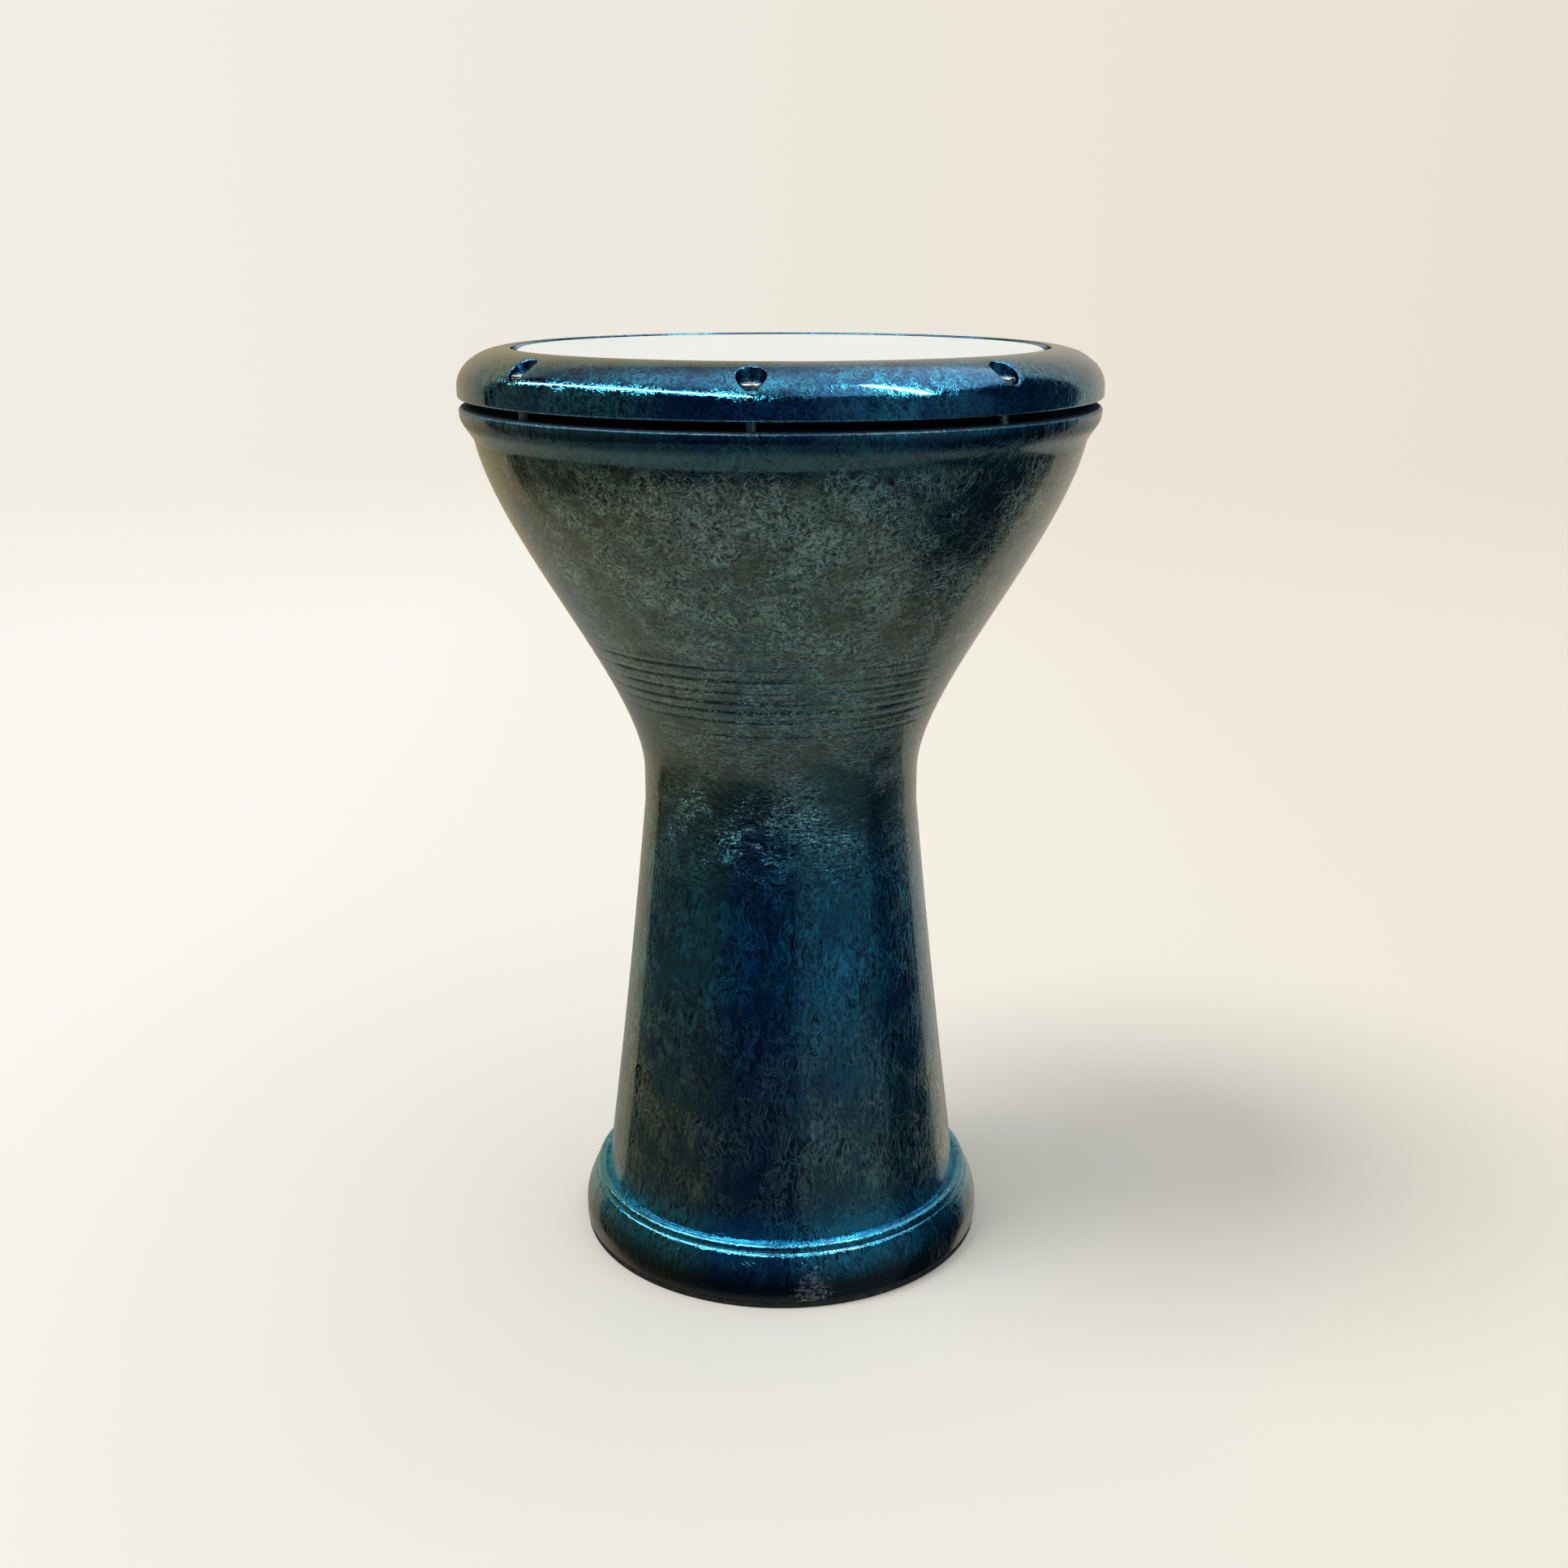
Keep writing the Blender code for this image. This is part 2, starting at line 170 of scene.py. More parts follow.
def as_object(name, mesh, edge_angle=EDGE_ANGLE):
    """The mesh in the scene. Edges sharper than edge_angle, in degrees, stay crisp."""
    mesh.validate()
    mesh.shade_smooth()
    mesh.set_sharp_from_angle(angle=math.radians(edge_angle))
    piece = bpy.data.objects.new(name, mesh)
    scene.collection.objects.link(piece)
    return piece


def swept(outline, columns, centre=(0, 0)):
    """Points (r cos a, r sin a, z) about centre, with a going once round."""
    a = np.linspace(0, math.tau, columns, endpoint=False)
    r = outline[:, 0][:, None]
    x = centre[0] + r * np.cos(a)
    y = centre[1] + r * np.sin(a)
    z = np.broadcast_to(outline[:, 1][:, None], x.shape)
    return np.stack([x, y, z], axis=-1)


def turned(name, outline, columns):
    """A ring-like piece from a closed outline of (radius, height)."""
    return surface(name, swept(outline, columns))


def carved(piece, cutter):
    """The piece with the cutter's solid taken away, as one plain mesh."""
    boolean = piece.modifiers.new("carve", "BOOLEAN")
    boolean.operation = "DIFFERENCE"
    boolean.solver = "EXACT"
    boolean.object = cutter
    graph = bpy.context.evaluated_depsgraph_get()
    mesh = bpy.data.meshes.new_from_object(piece.evaluated_get(graph))
    piece.modifiers.clear()
    piece.data = mesh
    bpy.data.objects.remove(cutter)
    mesh.shade_smooth()
    mesh.set_sharp_from_angle(angle=math.radians(EDGE_ANGLE))
    return piece


# %% [markdown]
# ## Sizes read off the frame
#
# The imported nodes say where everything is. Their boxes give the radii and heights
# that the finer pieces have to meet, so nothing is placed by eye.


# %% Sizes
def span(node):
    """A node's outer radius about its own middle, its lowest and its highest point."""
    low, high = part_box(node)
    return (high.x - low.x) / 2 / MM, low.z / MM, high.z / MM


def middle_of(node):
    """Where a node stands, seen from above."""
    low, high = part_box(node)
    return ((low.x + high.x) / 2 / MM, (low.y + high.y) / 2 / MM)


RING_R, RING_Z, RING_TOP_Z = span("clamp_ring")
PAD_R, PAD_Z, PAD_LIP_Z = span("foot_pad")
_, SHELL_Z, BEARING_Z = span("shell")
HOOP_R, HOOP_Z, HOOP_TOP_Z = span("head_hoop")
_, FILM_END_Z, FILM_TOP_Z = span("head_film")
BOLTS = 8
spots = [middle_of(f"bolt_washer_{k}") for k in range(1, BOLTS + 1)]
GAP = 0.3
FILM_T = 0.3
RIM_Z = 410.1
RIM_R = 145.7
HEAD_R = 119.5
NECK_R = 65.8
STEM_FOOT_R = 88.1
FOOT_R = 100.0
FOOT_EDGE = 7.5
BEARING_ROUND = 3.1
print(f"ring radius {RING_R:.1f}, top {RING_TOP_Z:.1f}, bearing edge {BEARING_Z:.1f}")
print("first bolt stands at", [round(v, 1) for v in spots[0]])

# %% [markdown]
# ## Materials from expressions
#
# A finish is maths on a place: how far round, how high, how noisy. `Wire` wraps
# what flows between shader nodes, so `1 - mask * 0.5` builds its own Math nodes.
# `Finish` holds one material, and its `node` method adds any other node: first its
# settings, then the values or wires of its sockets.


# %% Wires and finishes
class Wire:
    """A node's output. Arithmetic on it adds a Math node to the same finish."""

    def __init__(self, finish, socket):
        self.finish, self.socket = finish, socket

    def maths(self, operation, *values):
        return self.finish.node("Math", {"operation": operation}, enumerate(values))

    def __add__(self, other):
        return self.maths("ADD", self, other)

    def __sub__(self, other):
        return self.maths("SUBTRACT", self, other)

    def __rsub__(self, other):
        return self.maths("SUBTRACT", other, self)

    def __mul__(self, other):
        return self.maths("MULTIPLY", self, other)

    def __truediv__(self, other):
        return self.maths("DIVIDE", self, other)

    def __pow__(self, other):
        return self.maths("POWER", self, other)

    def __abs__(self):
        return self.maths("ABSOLUTE", self)

    __radd__ = __add__
    __rmul__ = __mul__


class Tree:
    """A node tree, with one method that adds any node."""

    def __init__(self, tree):
        self.tree = tree

    def node(self, kind, settings=None, values=(), out=0):
        made = self.tree.nodes.new("ShaderNode" + kind)
        settings = dict(settings or {})
        stops = settings.pop("stops", None)
        for key, value in settings.items():
            setattr(made, key, value)
        if stops:
            ramp = made.color_ramp
            while len(ramp.elements) < len(stops):
                ramp.elements.new(0.5)
            for element, (place, colour) in zip(ramp.elements, stops):
                element.position = place
            for element, (place, colour) in zip(ramp.elements, stops):
                element.color = (*colour, 1.0)
        for key, value in values.items() if isinstance(values, dict) else values:
            self.put(made.inputs[key], value)
        return Wire(self, made.outputs[out])

    def put(self, socket, value):
        if isinstance(value, Wire):
            self.tree.links.new(value.socket, socket)
        elif socket.type == "RGBA" and len(value) == 3:
            socket.default_value = (*value, 1.0)
        else:
            socket.default_value = value

    def noise(self, place, scale, detail=4.0, roughness=0.55, distortion=0.0, out=0):
        values = {
            "Vector": place,
            "Scale": scale,
            "Detail": detail,
            "Roughness": roughness,
            "Distortion": distortion,
        }
        return self.node("TexNoise", None, values, out)

    def edges(self, place, scale):
        """Distance to the nearest border between scattered cells."""
        settings = {"feature": "DISTANCE_TO_EDGE"}
        return self.node("TexVoronoi", settings, {"Vector": place, "Scale": scale})

    def ease(self, value, low, high, start=0.0, end=1.0):
        """start below low, end above high, and a smooth step between them."""
        settings = {"interpolation_type": "SMOOTHSTEP"}
        values = enumerate([value, low, high, start, end])
        return self.node("MapRange", settings, values)

    def ramp(self, value, stops):
        """The colour at value, between stops of (value, colour)."""
        return self.node("ValToRGB", {"stops": stops}, {0: value})

    def mix(self, share, first, second):
        """(1 - share) first + share second, for colours."""
        values = {0: share, 6: first, 7: second}
        return self.node("Mix", {"data_type": "RGBA"}, values, out=2)

    def stretch(self, place, scale):
        """The place, scaled along each axis, so that a pattern is drawn out."""
        return self.node("Mapping", None, {"Vector": place, "Scale": scale})

    def xyz(self, place):
        """Three wires, one for each coordinate of the place."""
        split = self.node("SeparateXYZ", None, {0: place})
        parts = split.socket.node.outputs
        return [Wire(self, parts[k]) for k in range(3)]


class Finish(Tree):
    """One material. Fixed values go straight on the shader's own sockets."""

    def __init__(self, name, **fixed):
        self.material = bpy.data.materials.new(name)
        self.material.use_nodes = True
        super().__init__(self.material.node_tree)
        self.shader = self.tree.nodes["Principled BSDF"]
        for key, value in fixed.items():
            self.put(self.shader.inputs[key.replace("_", " ")], value)
        self.place = self.node("TexCoord", out=3)

    def wear(self, **varied):
        """Joins what varies over the surface to the shader's sockets."""
        for key, value in varied.items():
            self.put(self.shader.inputs[key.replace("_", " ")], value)

    def bump(self, height, distance, strength=1.0):
        """Height is from 0 to 1, and distance is how deep that is, in metres."""
        values = {"Strength": strength, "Distance": distance, "Height": height}
        self.put(self.shader.inputs["Normal"], self.node("Bump", None, values))


def dress(piece, finish, body=None):
    """Gives the piece its material and the body it rides."""
    piece.data.materials.clear()
    piece.data.materials.append(finish.material)
    if body:
        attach(piece, body)
    return piece


# %% [markdown]
# ## Candy lacquer
#
# The castings are sprayed with metal flake, then with clear blue, and then worked
# while wet, so the colour gathers in patches and short curled strokes. A thick clear
# coat goes over it all. Two layers do this here: a metallic base whose colour
# follows patches and strokes, and a smooth coat that mirrors the room in white.
# A painted image would have to be wrapped round the drum and would show its seam,
# so the pattern is noise in space, and the colours are kept in one short list.

# %% Lacquer colours
# INK is the dark strokes' colour. At the foot's edge it is also a painted dark
# reflection, and on the rim's top painted shade.
INK = (0.004, 0.016, 0.026)
TEAL = (0.026, 0.175, 0.240)
AZURE = (0.018, 0.235, 0.420)
# Painted highlight, in part: on the bead this bright blue stands for the broad
# highlight round it.
BEAD_HIGHLIGHT_BLUE = (0.060, 0.660, 1.000)
NAVY = (0.006, 0.050, 0.200)
# Painted shade for the hollow beneath the rim.
HOLLOW_SHADE = (0.006, 0.045, 0.095)
OLIVE = (0.062, 0.092, 0.052)
SAGE = (0.036, 0.112, 0.110)
MOSS = (0.030, 0.085, 0.086)
REED = (0.028, 0.085, 0.070)
# Painted highlight: a lighter band where the hollow meets the bowl.
LEDGE_HIGHLIGHT = (0.052, 0.190, 0.230)
ROYAL = (0.003, 0.095, 0.290)
SILVER = (0.400, 0.620, 0.580)
ICE = (0.070, 0.640, 0.980)
SPARK = (0.050, 0.520, 0.820)
# Painted highlight: a pale band that shows as the bright line along the rim's arris.
RIM_HIGHLIGHT = (0.820, 0.830, 0.850)
RUBBED = (0.620, 0.660, 0.700)


def height(made, place, stops):
    """A ramp up the drum. Its stops are given in millimetres."""
    z = made.xyz(place)[2] / (RING_TOP_Z * MM)
    return made.ramp(z, [(level / RING_TOP_Z, colour) for level, colour in stops])


print("lacquer colours run from", INK, "to", RIM_HIGHLIGHT)

# %% [markdown]
# The strokes follow the hand that wiped them: upright on the stem, level round the
# neck. A noise crosses its middle value along thin curled lines, and these are the
# strokes. Squeezing or stretching the height before the noise lays them down or
# stands them up.


# %% Strokes
def drawn_out(made, place):
    """Height becomes z' = 0.4 z + 0.26 s(z) + 0.06 t(z), where s steps from 0 to 1
    round the neck and t does so round the bowl. Strokes stand upright on the stem
    and lie level where z' climbs fast."""
    x, y, z = made.xyz(place)
    neck = made.ease(z, 0.19, 0.33, 0.0, 0.26)
    bowl = made.ease(z, 0.3, 0.4, 0, 0.06)
    return made.node("CombineXYZ", None, {0: x, 1: y, 2: z * 0.4 + neck + bowl})


def strokes(made, place, scale, width, distortion=1.6, detail=2.0):
    """1 along the lines where a noise crosses its middle, and 0 beside them."""
    level = made.noise(place, scale, detail, 0.5, distortion)
    return made.ease(abs(level - 0.5), 0.0, width, 1.0, 0.0)


def wandering(made, place, base):
    """base + 0.012 * (a noise's three channels), so that lines on it wander."""
    noise = made.noise(place, 60.0, 2.0, out=1)
    values = {0: noise, 1: (0.012, 0.012, 0.012), 2: base}
    return made.node("VectorMath", {"operation": "MULTIPLY_ADD"}, values)


def rubbing(made, place):
    """Where the foot has been knocked: 1 on a speckled patch round SCUFF, and 0
    elsewhere. The speckle's level falls with the distance from the patch."""
    values = {0: place, 1: SCUFF}
    away = made.node("VectorMath", {"operation": "DISTANCE"}, values, out=1)
    speckle = made.noise(made.stretch(place, (1, 1, 1.6)), 420.0, 4.0, 0.7, 0.8)
    return made.ease(speckle - made.ease(away, 0.003, 0.021, 0.0, 0.3), 0.46, 0.56)


SCUFF = (0.0150, -0.0985, 0.0100)
print("scuff lies", round(math.hypot(*SCUFF[:2]) / MM, 1), "mm from the axis")

# %% [markdown]
# One function mixes both castings' lacquer. Dark patches go down first, then dark
# strokes, then bright ones. The shell is combed, with strokes drawn out, and the
# ring is crackled, with a net of small cells and less depth.


# %% Lacquer
def lacquer(name, tints, shades, glints, share, crumple, combed=True):
    """Metal flake under tinted clear coat. tints are the colours up the drum, shades
    those of the darker patches, which cover a share of it, and glints those of the
    bright strokes. crumple is the strokes' depth in metres. A combed finish has its
    strokes drawn out, and the other kind has a net of small cells."""
    made = Finish(name, Metallic=1.0, Coat_Weight=1.0, Coat_Roughness=0.03)
    place = made.place
    flow = drawn_out(made, place) if combed else place
    drift = wandering(made, place, flow)
    broad = made.noise(place, 16.0, 3.0, 0.55, 0.5)
    cloud = made.noise(drift, 75.0, 4.0, 0.6, 0.6)
    pool = made.ease(broad * 0.55 + cloud * 0.45, 0.40, 0.62)
    light = strokes(made, drift, 115.0, 0.075, 2.2, 3.0)
    fine = strokes(made, drift, 230.0, 0.10, 1.6)
    dark = strokes(made, flow, 90.0, 0.07, 2.6, 3.0)
    deep = strokes(made, drift, 170.0, 0.09, 1.8)
    busy = made.ease(made.noise(place, 42.0, 3.0, 0.6), 0.36, 0.6, 0.3, 1.0)
    choice = (250.0, 0.15, 0.09) if combed else (300.0, 0.6, 0.05)
    cell_scale, cell_share, smooth = choice
    cells = made.ease(made.edges(drift, cell_scale), 0.0, 0.09, 1.0, 0.0)
    web = (light * 0.6 + fine * 0.55 + cells * cell_share) * busy
    rubbed = rubbing(made, place)
    lists = (tints, shades, glints)
    tint, shade, glint = (height(made, place, stops) for stops in lists)
    colour = made.mix(pool * share, tint, shade)
    colour = made.mix((dark * 0.8 + deep * 0.7) * busy, colour, INK)
    colour = made.mix(web * 0.95, colour, glint)
    colour = made.mix(rubbed * 0.8, colour, RUBBED)
    made.gloss = web * 0.08 + rubbed * 0.3 + smooth
    made.wear(Base_Color=colour, Roughness=made.gloss)
    made.bump(web * 0.8 + dark * -0.5 + cloud * 0.4, crumple, 0.6)
    return made


royal, navy, spark = ([(0, colour), (1, colour)] for colour in (ROYAL, NAVY, SPARK))
ring_finish = lacquer("ring_lacquer", royal, navy, spark, 0.6, 0.00006, False)
print("ring lacquer:", len(ring_finish.tree.nodes), "nodes")

# %% [markdown]
# The shell's colours change with height. The foot's edge is black, a painted dark
# reflection of what the lower skirt mirrors. The bead is bright blue, partly its
# lacquer and partly a painted highlight. The stem is blue and the bowl grey-green.
# A lighter band where the bowl meets the hollow beneath the rim is a painted
# highlight, and the hollow itself is painted dark: painted shade. On the rim's arris
# a thin pale band, neither metal nor coated, is a painted highlight for the bright
# line along that edge. Above it, mostly out of sight, the casting is rough and
# painted black: painted shade in the gap under the ring.

# %% The shell's lacquer
SHELL_TINTS = [
    # Painted dark reflection: the skirt's lower edge is black.
    (11, INK),
    (17, TEAL),
    # Painted highlight, in part: the bead's bright blue.
    (22, BEAD_HIGHLIGHT_BLUE),
    (33, BEAD_HIGHLIGHT_BLUE),
    (42, TEAL),
    (150, AZURE),
    (205, TEAL),
    (250, SAGE),
    (330, SAGE),
    (366, MOSS),
    (384, REED),
    (392, REED),
    # Painted highlight: a lighter band where the hollow meets the bowl.
    (396.5, LEDGE_HIGHLIGHT),
    (399.5, LEDGE_HIGHLIGHT),
    # Painted shade in the hollow beneath the rim.
    (402.5, HOLLOW_SHADE),
    (406, HOLLOW_SHADE),
    (408.7, AZURE),
    # Painted highlight: the pale band on the rim's arris.
    (409.0, RIM_HIGHLIGHT),
    (410.0, RIM_HIGHLIGHT),
    # Painted shade: black on the rim's top, in the gap under the ring.
    (410.08, INK),
]
SHELL_SHADES = [
    # Painted dark reflection at the foot's edge.
    (18, INK),
    (24, AZURE),
    (33, AZURE),
    (60, OLIVE),
    (120, NAVY),
    (190, NAVY),
    (230, OLIVE),
    (392, OLIVE),
    # Painted shade: navy patches in the hollow beneath the rim.
    (400, NAVY),
]
SHELL_GLINTS = [
    # Painted dark reflection at the foot's edge.
    (11, INK),
    (20, ICE),
    (34, ICE),
    (46, SILVER),
    (90, SILVER),
    (150, ICE),
    (190, ICE),
    (245, SILVER),
    (392, SILVER),
    # Painted shade: the strokes are dimmed to teal in the hollow.
    (396, TEAL),
    (407, TEAL),
    (408.7, ICE),
    # Painted highlight on the rim's arris.
    (409.0, RIM_HIGHLIGHT),
    (410.0, RIM_HIGHLIGHT),
    # Painted shade on the rim's top, under the ring.
    (410.08, INK),
]
shell_finish = lacquer(
    "shell_lacquer", SHELL_TINTS, SHELL_SHADES, SHELL_GLINTS, 0.75, 0.00022
)
up = shell_finish.xyz(shell_finish.place)[2]
hidden = shell_finish.ease(up, 0.4100, 0.4101)
# The pale painted highlight on the rim's arris, neither metal nor coated.
highlight_band = shell_finish.ease(up, 0.4088, 0.4091)
# The hollow loses most of its coat, so that it stays dark with its painted shade.
hollow = shell_finish.ease(up, 0.400, 0.403) - shell_finish.ease(up, 0.404, 0.4075)
shell_finish.wear(
    Metallic=1.0 - highlight_band,
    Coat_Weight=1.0 - highlight_band - hollow * 0.85,
    Roughness=shell_finish.gloss + hidden * 0.6,
)
print("shell lacquer:", len(shell_finish.tree.nodes), "nodes")

# %% [markdown]
# ## The shell
#
# Bowl, neck, stem and foot are one casting. Its outline goes up over the bearing
# edge, down the outside to the foot and back up the inside. It is drawn in pieces,
# each a curve between places that the solids fix, and stacked into one array.

# %% Shell outline, outside
NECK_Z = 222.0
NECK_TOP_Z = NECK_Z + 15.4
STEM_LOW_Z = SHELL_Z + 25.92
STEM_HOLLOW = 1.7
BOWL_TOP = (139.2, 394.2)
BOWL_SLOPE = 0.224
RIM_ROUND = 1.6


def stem_outside():
    """From the neck down to the foot: a taper with a slight hollow."""
    low = np.array([STEM_FOOT_R, STEM_LOW_Z])
    top = np.array([NECK_R, NECK_Z])
    middle = (low + top) / 2 - (STEM_HOLLOW, 0)
    leave = top + (middle - top) * 2 / 3
    arrive = low + (middle - low) * 2 / 3
    return bezier(top, leave, arrive, low, 60)


def bowl_outside():
    """From the rim down to the neck, one S-shaped curve."""
    rise = BOWL_TOP[1] - NECK_TOP_Z
    drop = rise * 0.301
    leave = (BOWL_TOP[0] - BOWL_SLOPE * drop, BOWL_TOP[1] - drop)
    arrive = (NECK_R, NECK_TOP_Z + rise * 0.256)
    return bezier(BOWL_TOP, leave, arrive, (NECK_R, NECK_TOP_Z), 280)


def foot_outside():
    """The bead round the stem's foot, its twin shoulder and the skirt below them."""
    bead = arc((91.6, 27.0), (2.6, 2.6), 150, -35, 20)
    shoulder = arc((92.0, 22.3), (4.0, 4.0), 60, 8, 12)
    skirt = bezier(shoulder[-1], (97.6, 19.8), (FOOT_R, 14.5), (FOOT_R, 9.8), 16)
    edge = arc((FOOT_R - 0.6, SHELL_Z + 0.6), (0.6, 0.6), 0, -90, 4)
    return np.vstack([bead, shoulder, skirt[1:], edge])


def rim_outside():
    """The rim's rounded edge, and the hollow curve from it to the bowl."""
    middle = (RIM_R - RIM_ROUND, RIM_Z - RIM_ROUND)
    edge = arc(middle, (RIM_ROUND, RIM_ROUND), 90, 0, 10)
    low = (RIM_R, RIM_Z - 2.56)
    drop = (low[1] - BOWL_TOP[1]) / 3
    leave = (RIM_R, low[1] - drop * 1.15)
    arrive = (BOWL_TOP[0] + BOWL_SLOPE * drop, BOWL_TOP[1] + drop)
    return np.vstack([edge, bezier(low, leave, arrive, BOWL_TOP, 20)[:-1]])


COLLAR_IN_R = HEAD_R - 4.3


def bearing_edge():
    """Up the collar, over its rounded edge and down to the rim's flat top."""
    middle = (HEAD_R - BEARING_ROUND, BEARING_Z - BEARING_ROUND)
    crown = arc(middle, (BEARING_ROUND, BEARING_ROUND), 100, 0, 14)
    inner = [(COLLAR_IN_R, BEARING_Z - BEARING_ROUND * 0.6)]
    fillet = arc((HEAD_R + 1.0, RIM_Z + 1.0), (1.0, 1.0), 180, 270, 5)
    flat = [(r, RIM_Z) for r in (125.0, 131.0, 138.0)]
    return np.vstack([inner, crown, fillet, flat])


# %% [markdown]
# The inner wall follows the outer one at the casting's own thickness. Its ends have
# to meet the foot's bore and the underside of the rim, so a short curve joins each.

# %% Shell outline, inside
WALL = 4.0
RIM_PLATE = 7.0
BORE_R = FOOT_R - FOOT_EDGE
BORE_TOP_Z = SHELL_Z + 7.0
STEM_BORE_Z = 40


def inner_wall():
    """Up the inside, from the foot's bore to the underside of the rim."""
    stem = offset(stem_outside()[::-3], WALL)[:-1]
    stem = stem[stem[:, 1] > STEM_BORE_Z]
    bowl = offset(bowl_outside()[::-8], WALL)
    bowl = bowl[bowl[:, 1] < BOWL_TOP[1] - RIM_PLATE]
    reach = (stem[0][1] - BORE_TOP_Z) * 0.45
    bore = bezier(
        (BORE_R, BORE_TOP_Z),
        (BORE_R, BORE_TOP_Z + reach),
        (stem[0][0], stem[0][1] - reach),
        stem[0],
        8,
    )
    under = RIM_Z - RIM_PLATE
    start = bowl[-1]
    rim = bezier(
        start,
        (start[0] + BOWL_SLOPE * (under - start[1]), under),
        ((start[0] + COLLAR_IN_R) / 2, under),
        (COLLAR_IN_R, under),
        8,
    )
    return np.vstack([[(BORE_R, SHELL_Z)], bore[:-1], stem, bowl, rim[1:]])


print("outer wall has", len(bowl_outside()) + len(stem_outside()), "points")

# %% [markdown]
# Near the neck the lathe tool left shallow grooves. They could be a bump in the
# material, but they are deep enough to catch the light from any side, so each is a
# dip worked into the grid of points itself.

# %% Grooves
GROOVES = [271.5, 278.6, 283.5, 288.5, 293.8, 299.2, 305.5]
GROOVE_DEPTHS = [0.4, 0.62, 0.68, 0.68, 0.56, 0.6, 0.5]
GROOVE_HALF = 0.9


def grooved(points, outer):
    """Grid points drawn in at each groove by
    depth * share * (exp(-d^2) - 0.35 exp(-(|d| - 1.7)^2)), where d is the distance
    from the groove over its half width, and the second part is the burr on each lip.
    The share is 0.5 + 0.5 sin(2 angle + phase), deepest in front and behind, since a
    casting that is a little oval meets the tool twice in a turn. outer is 1 for the
    rows to work and 0 for the others."""
    x, y, z = np.moveaxis(points, -1, 0)
    angle = np.arctan2(y, x)
    dip = 0 * x
    for k, (level, depth) in enumerate(zip(GROOVES, GROOVE_DEPTHS)):
        away = (z - level - 0.25 * np.sin(angle + 2 * k)) / GROOVE_HALF
        share = 0.5 + 0.5 * np.sin(2 * angle + 0.25 * k + 4.3)
        lips = 0.35 * np.exp(-((np.abs(away) - 1.7) ** 2))
        dip += depth * share * (np.exp(-(away**2)) - lips)
    shrink = 1 - outer[:, None] * dip / np.hypot(x, y)
    return np.stack([x * shrink, y * shrink, z], axis=-1)


print(len(GROOVES), "grooves, up to", max(GROOVE_DEPTHS), "mm deep")

# %% Shell
parts = [
    bearing_edge(),
    rim_outside(),
    bowl_outside(),
    stem_outside()[:-1],
    foot_outside(),
    inner_wall(),
]
on_bowl = [np.full(len(part), float(k == 2)) for k, part in enumerate(parts)]
shell_points = grooved(swept(np.vstack(parts), 160), np.concatenate(on_bowl))
shell = surface("shell_casting", shell_points)
print("shell casting:", len(shell.data.polygons), "faces")

# %% [markdown]
# The rim has a hole for each brass insert. The cutter is a set of small turned
# plugs, wider at the mouth so that each hole gets a bevelled lip.

# %% Insert holes
HOLE_Z = 401.2
HOLE_R = 4.1
plug_outline = np.array(
    [
        (HOLE_R + 3.0, RIM_Z + 3.0),
        (HOLE_R + 0.3, RIM_Z + 0.05),
        (HOLE_R, RIM_Z - 0.3),
        (HOLE_R, HOLE_Z),
    ]
)
ends = [[(*spot, RIM_Z + 3.0), (*spot, HOLE_Z)] for spot in spots]
plugs = np.stack([swept(plug_outline, 32, spot) for spot in spots])
shell = carved(shell, surface("plugs", plugs, False, ends))
dress(shell, shell_finish, "shell")
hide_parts("shell")
print("shell with holes:", len(shell.data.polygons), "faces")

# %% [markdown]
# ## The clamp ring
#
# The ring's top is a quarter of an ellipse, from a lip beside the film out to a
# short straight side. Inside it a shelf presses on the hoop. Eight wells hide the
# bolt heads. Where a well breaks the curved top, its lip is rolled, so the cutter
# is a trumpet: its mouth follows the ring's own surface.

# %% Ring outline
LIP_R = 121.9
LIP_ROUND = 0.8
CROWN_R = LIP_R + LIP_ROUND
SIDE_Z = RING_Z + 5.1
SIDE_ROUND = 1.3
RING_IN_R = 128.6
PRESS_Z = RING_Z + 7.6


def ring_height(r):
    """Height of the ring's top at radius r: an ellipse's upper quarter."""
    part = np.clip((r - CROWN_R) / (RING_R - CROWN_R), 0, 1)
    return SIDE_Z + (RING_TOP_Z - SIDE_Z) * np.sqrt(1 - part**2)


lip = arc((CROWN_R, RING_TOP_Z - LIP_ROUND), (LIP_ROUND, LIP_ROUND), 180, 90, 6)
crown = arc((CROWN_R, SIDE_Z), (RING_R - CROWN_R, RING_TOP_Z - SIDE_Z), 90, 0, 56)
side_edge = (RING_R - SIDE_ROUND, RING_Z + SIDE_ROUND)
foot_edge = arc(side_edge, (SIDE_ROUND, SIDE_ROUND), 0, -90, 6)
inside = np.array(
    [
        (RING_IN_R + 0.4, RING_Z),
        (RING_IN_R, RING_Z + 0.4),
        (RING_IN_R, PRESS_Z),
        (RING_IN_R - 2.2, PRESS_Z),
        (RING_IN_R - 2.4, PRESS_Z + 0.3),
        (LIP_R, RING_TOP_Z - 3.6),
    ]
)
ring_outline = np.vstack([lip, crown[1:], foot_edge, inside])
ring = turned("clamp_ring_casting", ring_outline, 256)
print("ring outline has", len(ring_outline), "points")

# %% [markdown]
# A well cut with a plain cylinder would have a knife's edge where it meets the
# curved top. The cutter's mouth is lifted by the ring's own height at each of its
# points, so the rolled lip is even all the way round.

# %% Wells
WELL_R = 6.0
WELL_Z = 420.2
SHANK_R = 3.3
ROLL = 0.8


